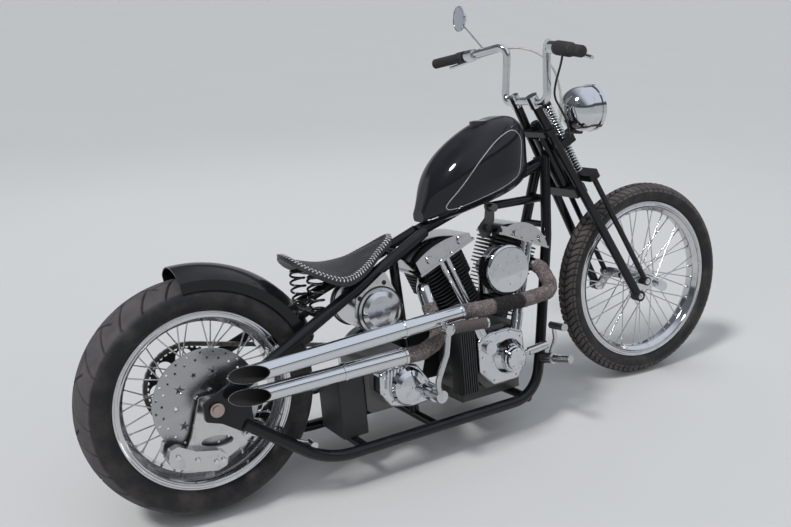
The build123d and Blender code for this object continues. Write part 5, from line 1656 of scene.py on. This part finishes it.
class ChopperStudio(bpy.types.Operator):
    """Set the floor, the backdrop, the lamps and the camera"""

    bl_idname = "chopper.studio"
    bl_label = "Studio"

    def execute(self, context):
        sizes = context.scene.chopper_stage
        self.floor(tint(*sizes.floor))
        self.world(context.scene)
        self.lamps(sizes)
        self.camera(context.scene)
        context.scene.view_settings.view_transform = "Standard"
        return {"FINISHED"}

    def floor(self, colour):
        """Lay a broad pale floor."""
        mesh = bpy.data.meshes.new("studio_floor")
        mesh.from_pydata([(x * FLOOR_REACH, y * FLOOR_REACH, CAD_LOW.z)
                          for x, y in ((-1, -1), (1, -1), (1, 1), (-1, 1))], [], [(0, 1, 2, 3)])
        made = linked("studio_floor", mesh)
        finish = Finish("studio_floor", Specular_IOR_Level=0.15)
        grain = finish.mottle(0.08, 4, 0.6)
        broad = finish.mottle(0.0012, 3)
        mesh.materials.append(finish.done(finish.blend(broad, colour, shade(colour, 0.965)),
                                          0.62 + 0.12 * grain, grain, 0.08, 0.0006))

    def world(self, scene):
        """Make a pale horizon, a dark line above it, and a bright overhead screen ahead."""
        world = bpy.data.worlds.new("studio")
        scene.world = world
        world.use_nodes = True
        g = Graph(world.node_tree)
        toward = g.get("ShaderNodeTexCoord", name="Generated")
        height = g.split(toward)[2]
        screen = g.between(g.vector("DOT_PRODUCT", toward, SCREEN_TOWARD, name="Value"), 0.2, 0.7)
        overhead = g.blend(screen, tint(0.14, 0.155, 0.18), tint(0.74, 0.8, 0.9))
        low = g.blend(g.between(height, 0.23, 0.29), tint(0.52, 0.545, 0.56), tint(0.08, 0.09, 0.1))
        back = world.node_tree.nodes["Background"]
        g.plug(g.blend(g.between(height, 0.4, 0.48), low, overhead), back.inputs["Color"])
        back.inputs["Strength"].default_value = 1.0

    def lamps(self, sizes):
        """Set a broad sun, with soft boxes round the machine."""
        sun = bpy.data.lights.new("sun", "SUN")
        sun.energy, sun.angle = sizes.sun, SUN_WIDTH
        self.aimed(sun, SUN_FROM, (0, 0, 0))
        for name, spot, aim, size, share in SOFT_BOXES:
            data = bpy.data.lights.new(name, "AREA")
            data.shape = "RECTANGLE"
            data.size, data.size_y = size
            data.energy = sizes.key * share
            self.aimed(data, spot, aim)

    def aimed(self, data, spot, aim):
        """Hang a lamp and aim it; only the sun shows in the gloss."""
        lamp = linked(data.name, data)
        lamp.location = spot
        lamp.visible_glossy = data.type == "SUN"
        lamp.rotation_euler = (Vector(aim) - Vector(spot)).to_track_quat("-Z", "Y").to_euler()

    def camera(self, scene):
        """Set the camera at the photograph's viewing angle."""
        data = bpy.data.cameras.new("camera")
        data.sensor_width = SENSOR
        data.lens = SENSOR * FOCAL_PIXELS / PHOTO_PIXELS
        made = linked("camera", data)
        place = Vector(JOINTS["rear_wheel_spin"]["pos_m"]) + CAMERA_FROM_AXLE
        look = Vector((math.cos(PITCH) * math.cos(YAW), math.cos(PITCH) * math.sin(YAW),
                       math.sin(PITCH)))
        turn = look.to_track_quat("-Z", "Y").to_matrix().to_4x4()
        made.matrix_world = Matrix.Translation(place) @ turn @ Matrix.Rotation(ROLL, 4, "Z")
        scene.camera = made


class ChopperPanel(bpy.types.Panel):
    """The chopper's pieces and sizes"""

    bl_idname = "VIEW3D_PT_chopper"
    bl_label = "Chopper"
    bl_space_type = "VIEW_3D"
    bl_region_type = "UI"
    bl_category = "Chopper"

    def draw(self, context):
        for label, group in GROUPS.items():
            box = self.layout.box()
            for name in group.__annotations__:
                box.prop(getattr(context.scene, label), name)
        for operator in OPERATORS:
            self.layout.operator(operator.bl_idname)


OPERATORS = (ChopperFinishes, ChopperTyreTreads, ChopperRims, ChopperBrakeDisc, ChopperAirCleaner,
             ChopperSpringCoils, ChopperExhaustWrap, ChopperSeatPad, ChopperPinstripe,
             ChopperGrips, ChopperCables, ChopperFuelCap, ChopperGlass, ChopperFasteners,
             ChopperStudio)


def register():
    for kind in (*GROUPS.values(), *OPERATORS, ChopperPanel):
        bpy.utils.register_class(kind)
    for label, group in GROUPS.items():
        setattr(bpy.types.Scene, label, PointerProperty(type=group))


def unregister():
    for label in GROUPS:
        delattr(bpy.types.Scene, label)
    for kind in reversed((*GROUPS.values(), *OPERATORS, ChopperPanel)):
        bpy.utils.unregister_class(kind)


def main():
    register()
    for operator in OPERATORS:
        getattr(bpy.ops.chopper, operator.bl_idname.split(".")[1])()


if __name__ == "__main__":
    main()
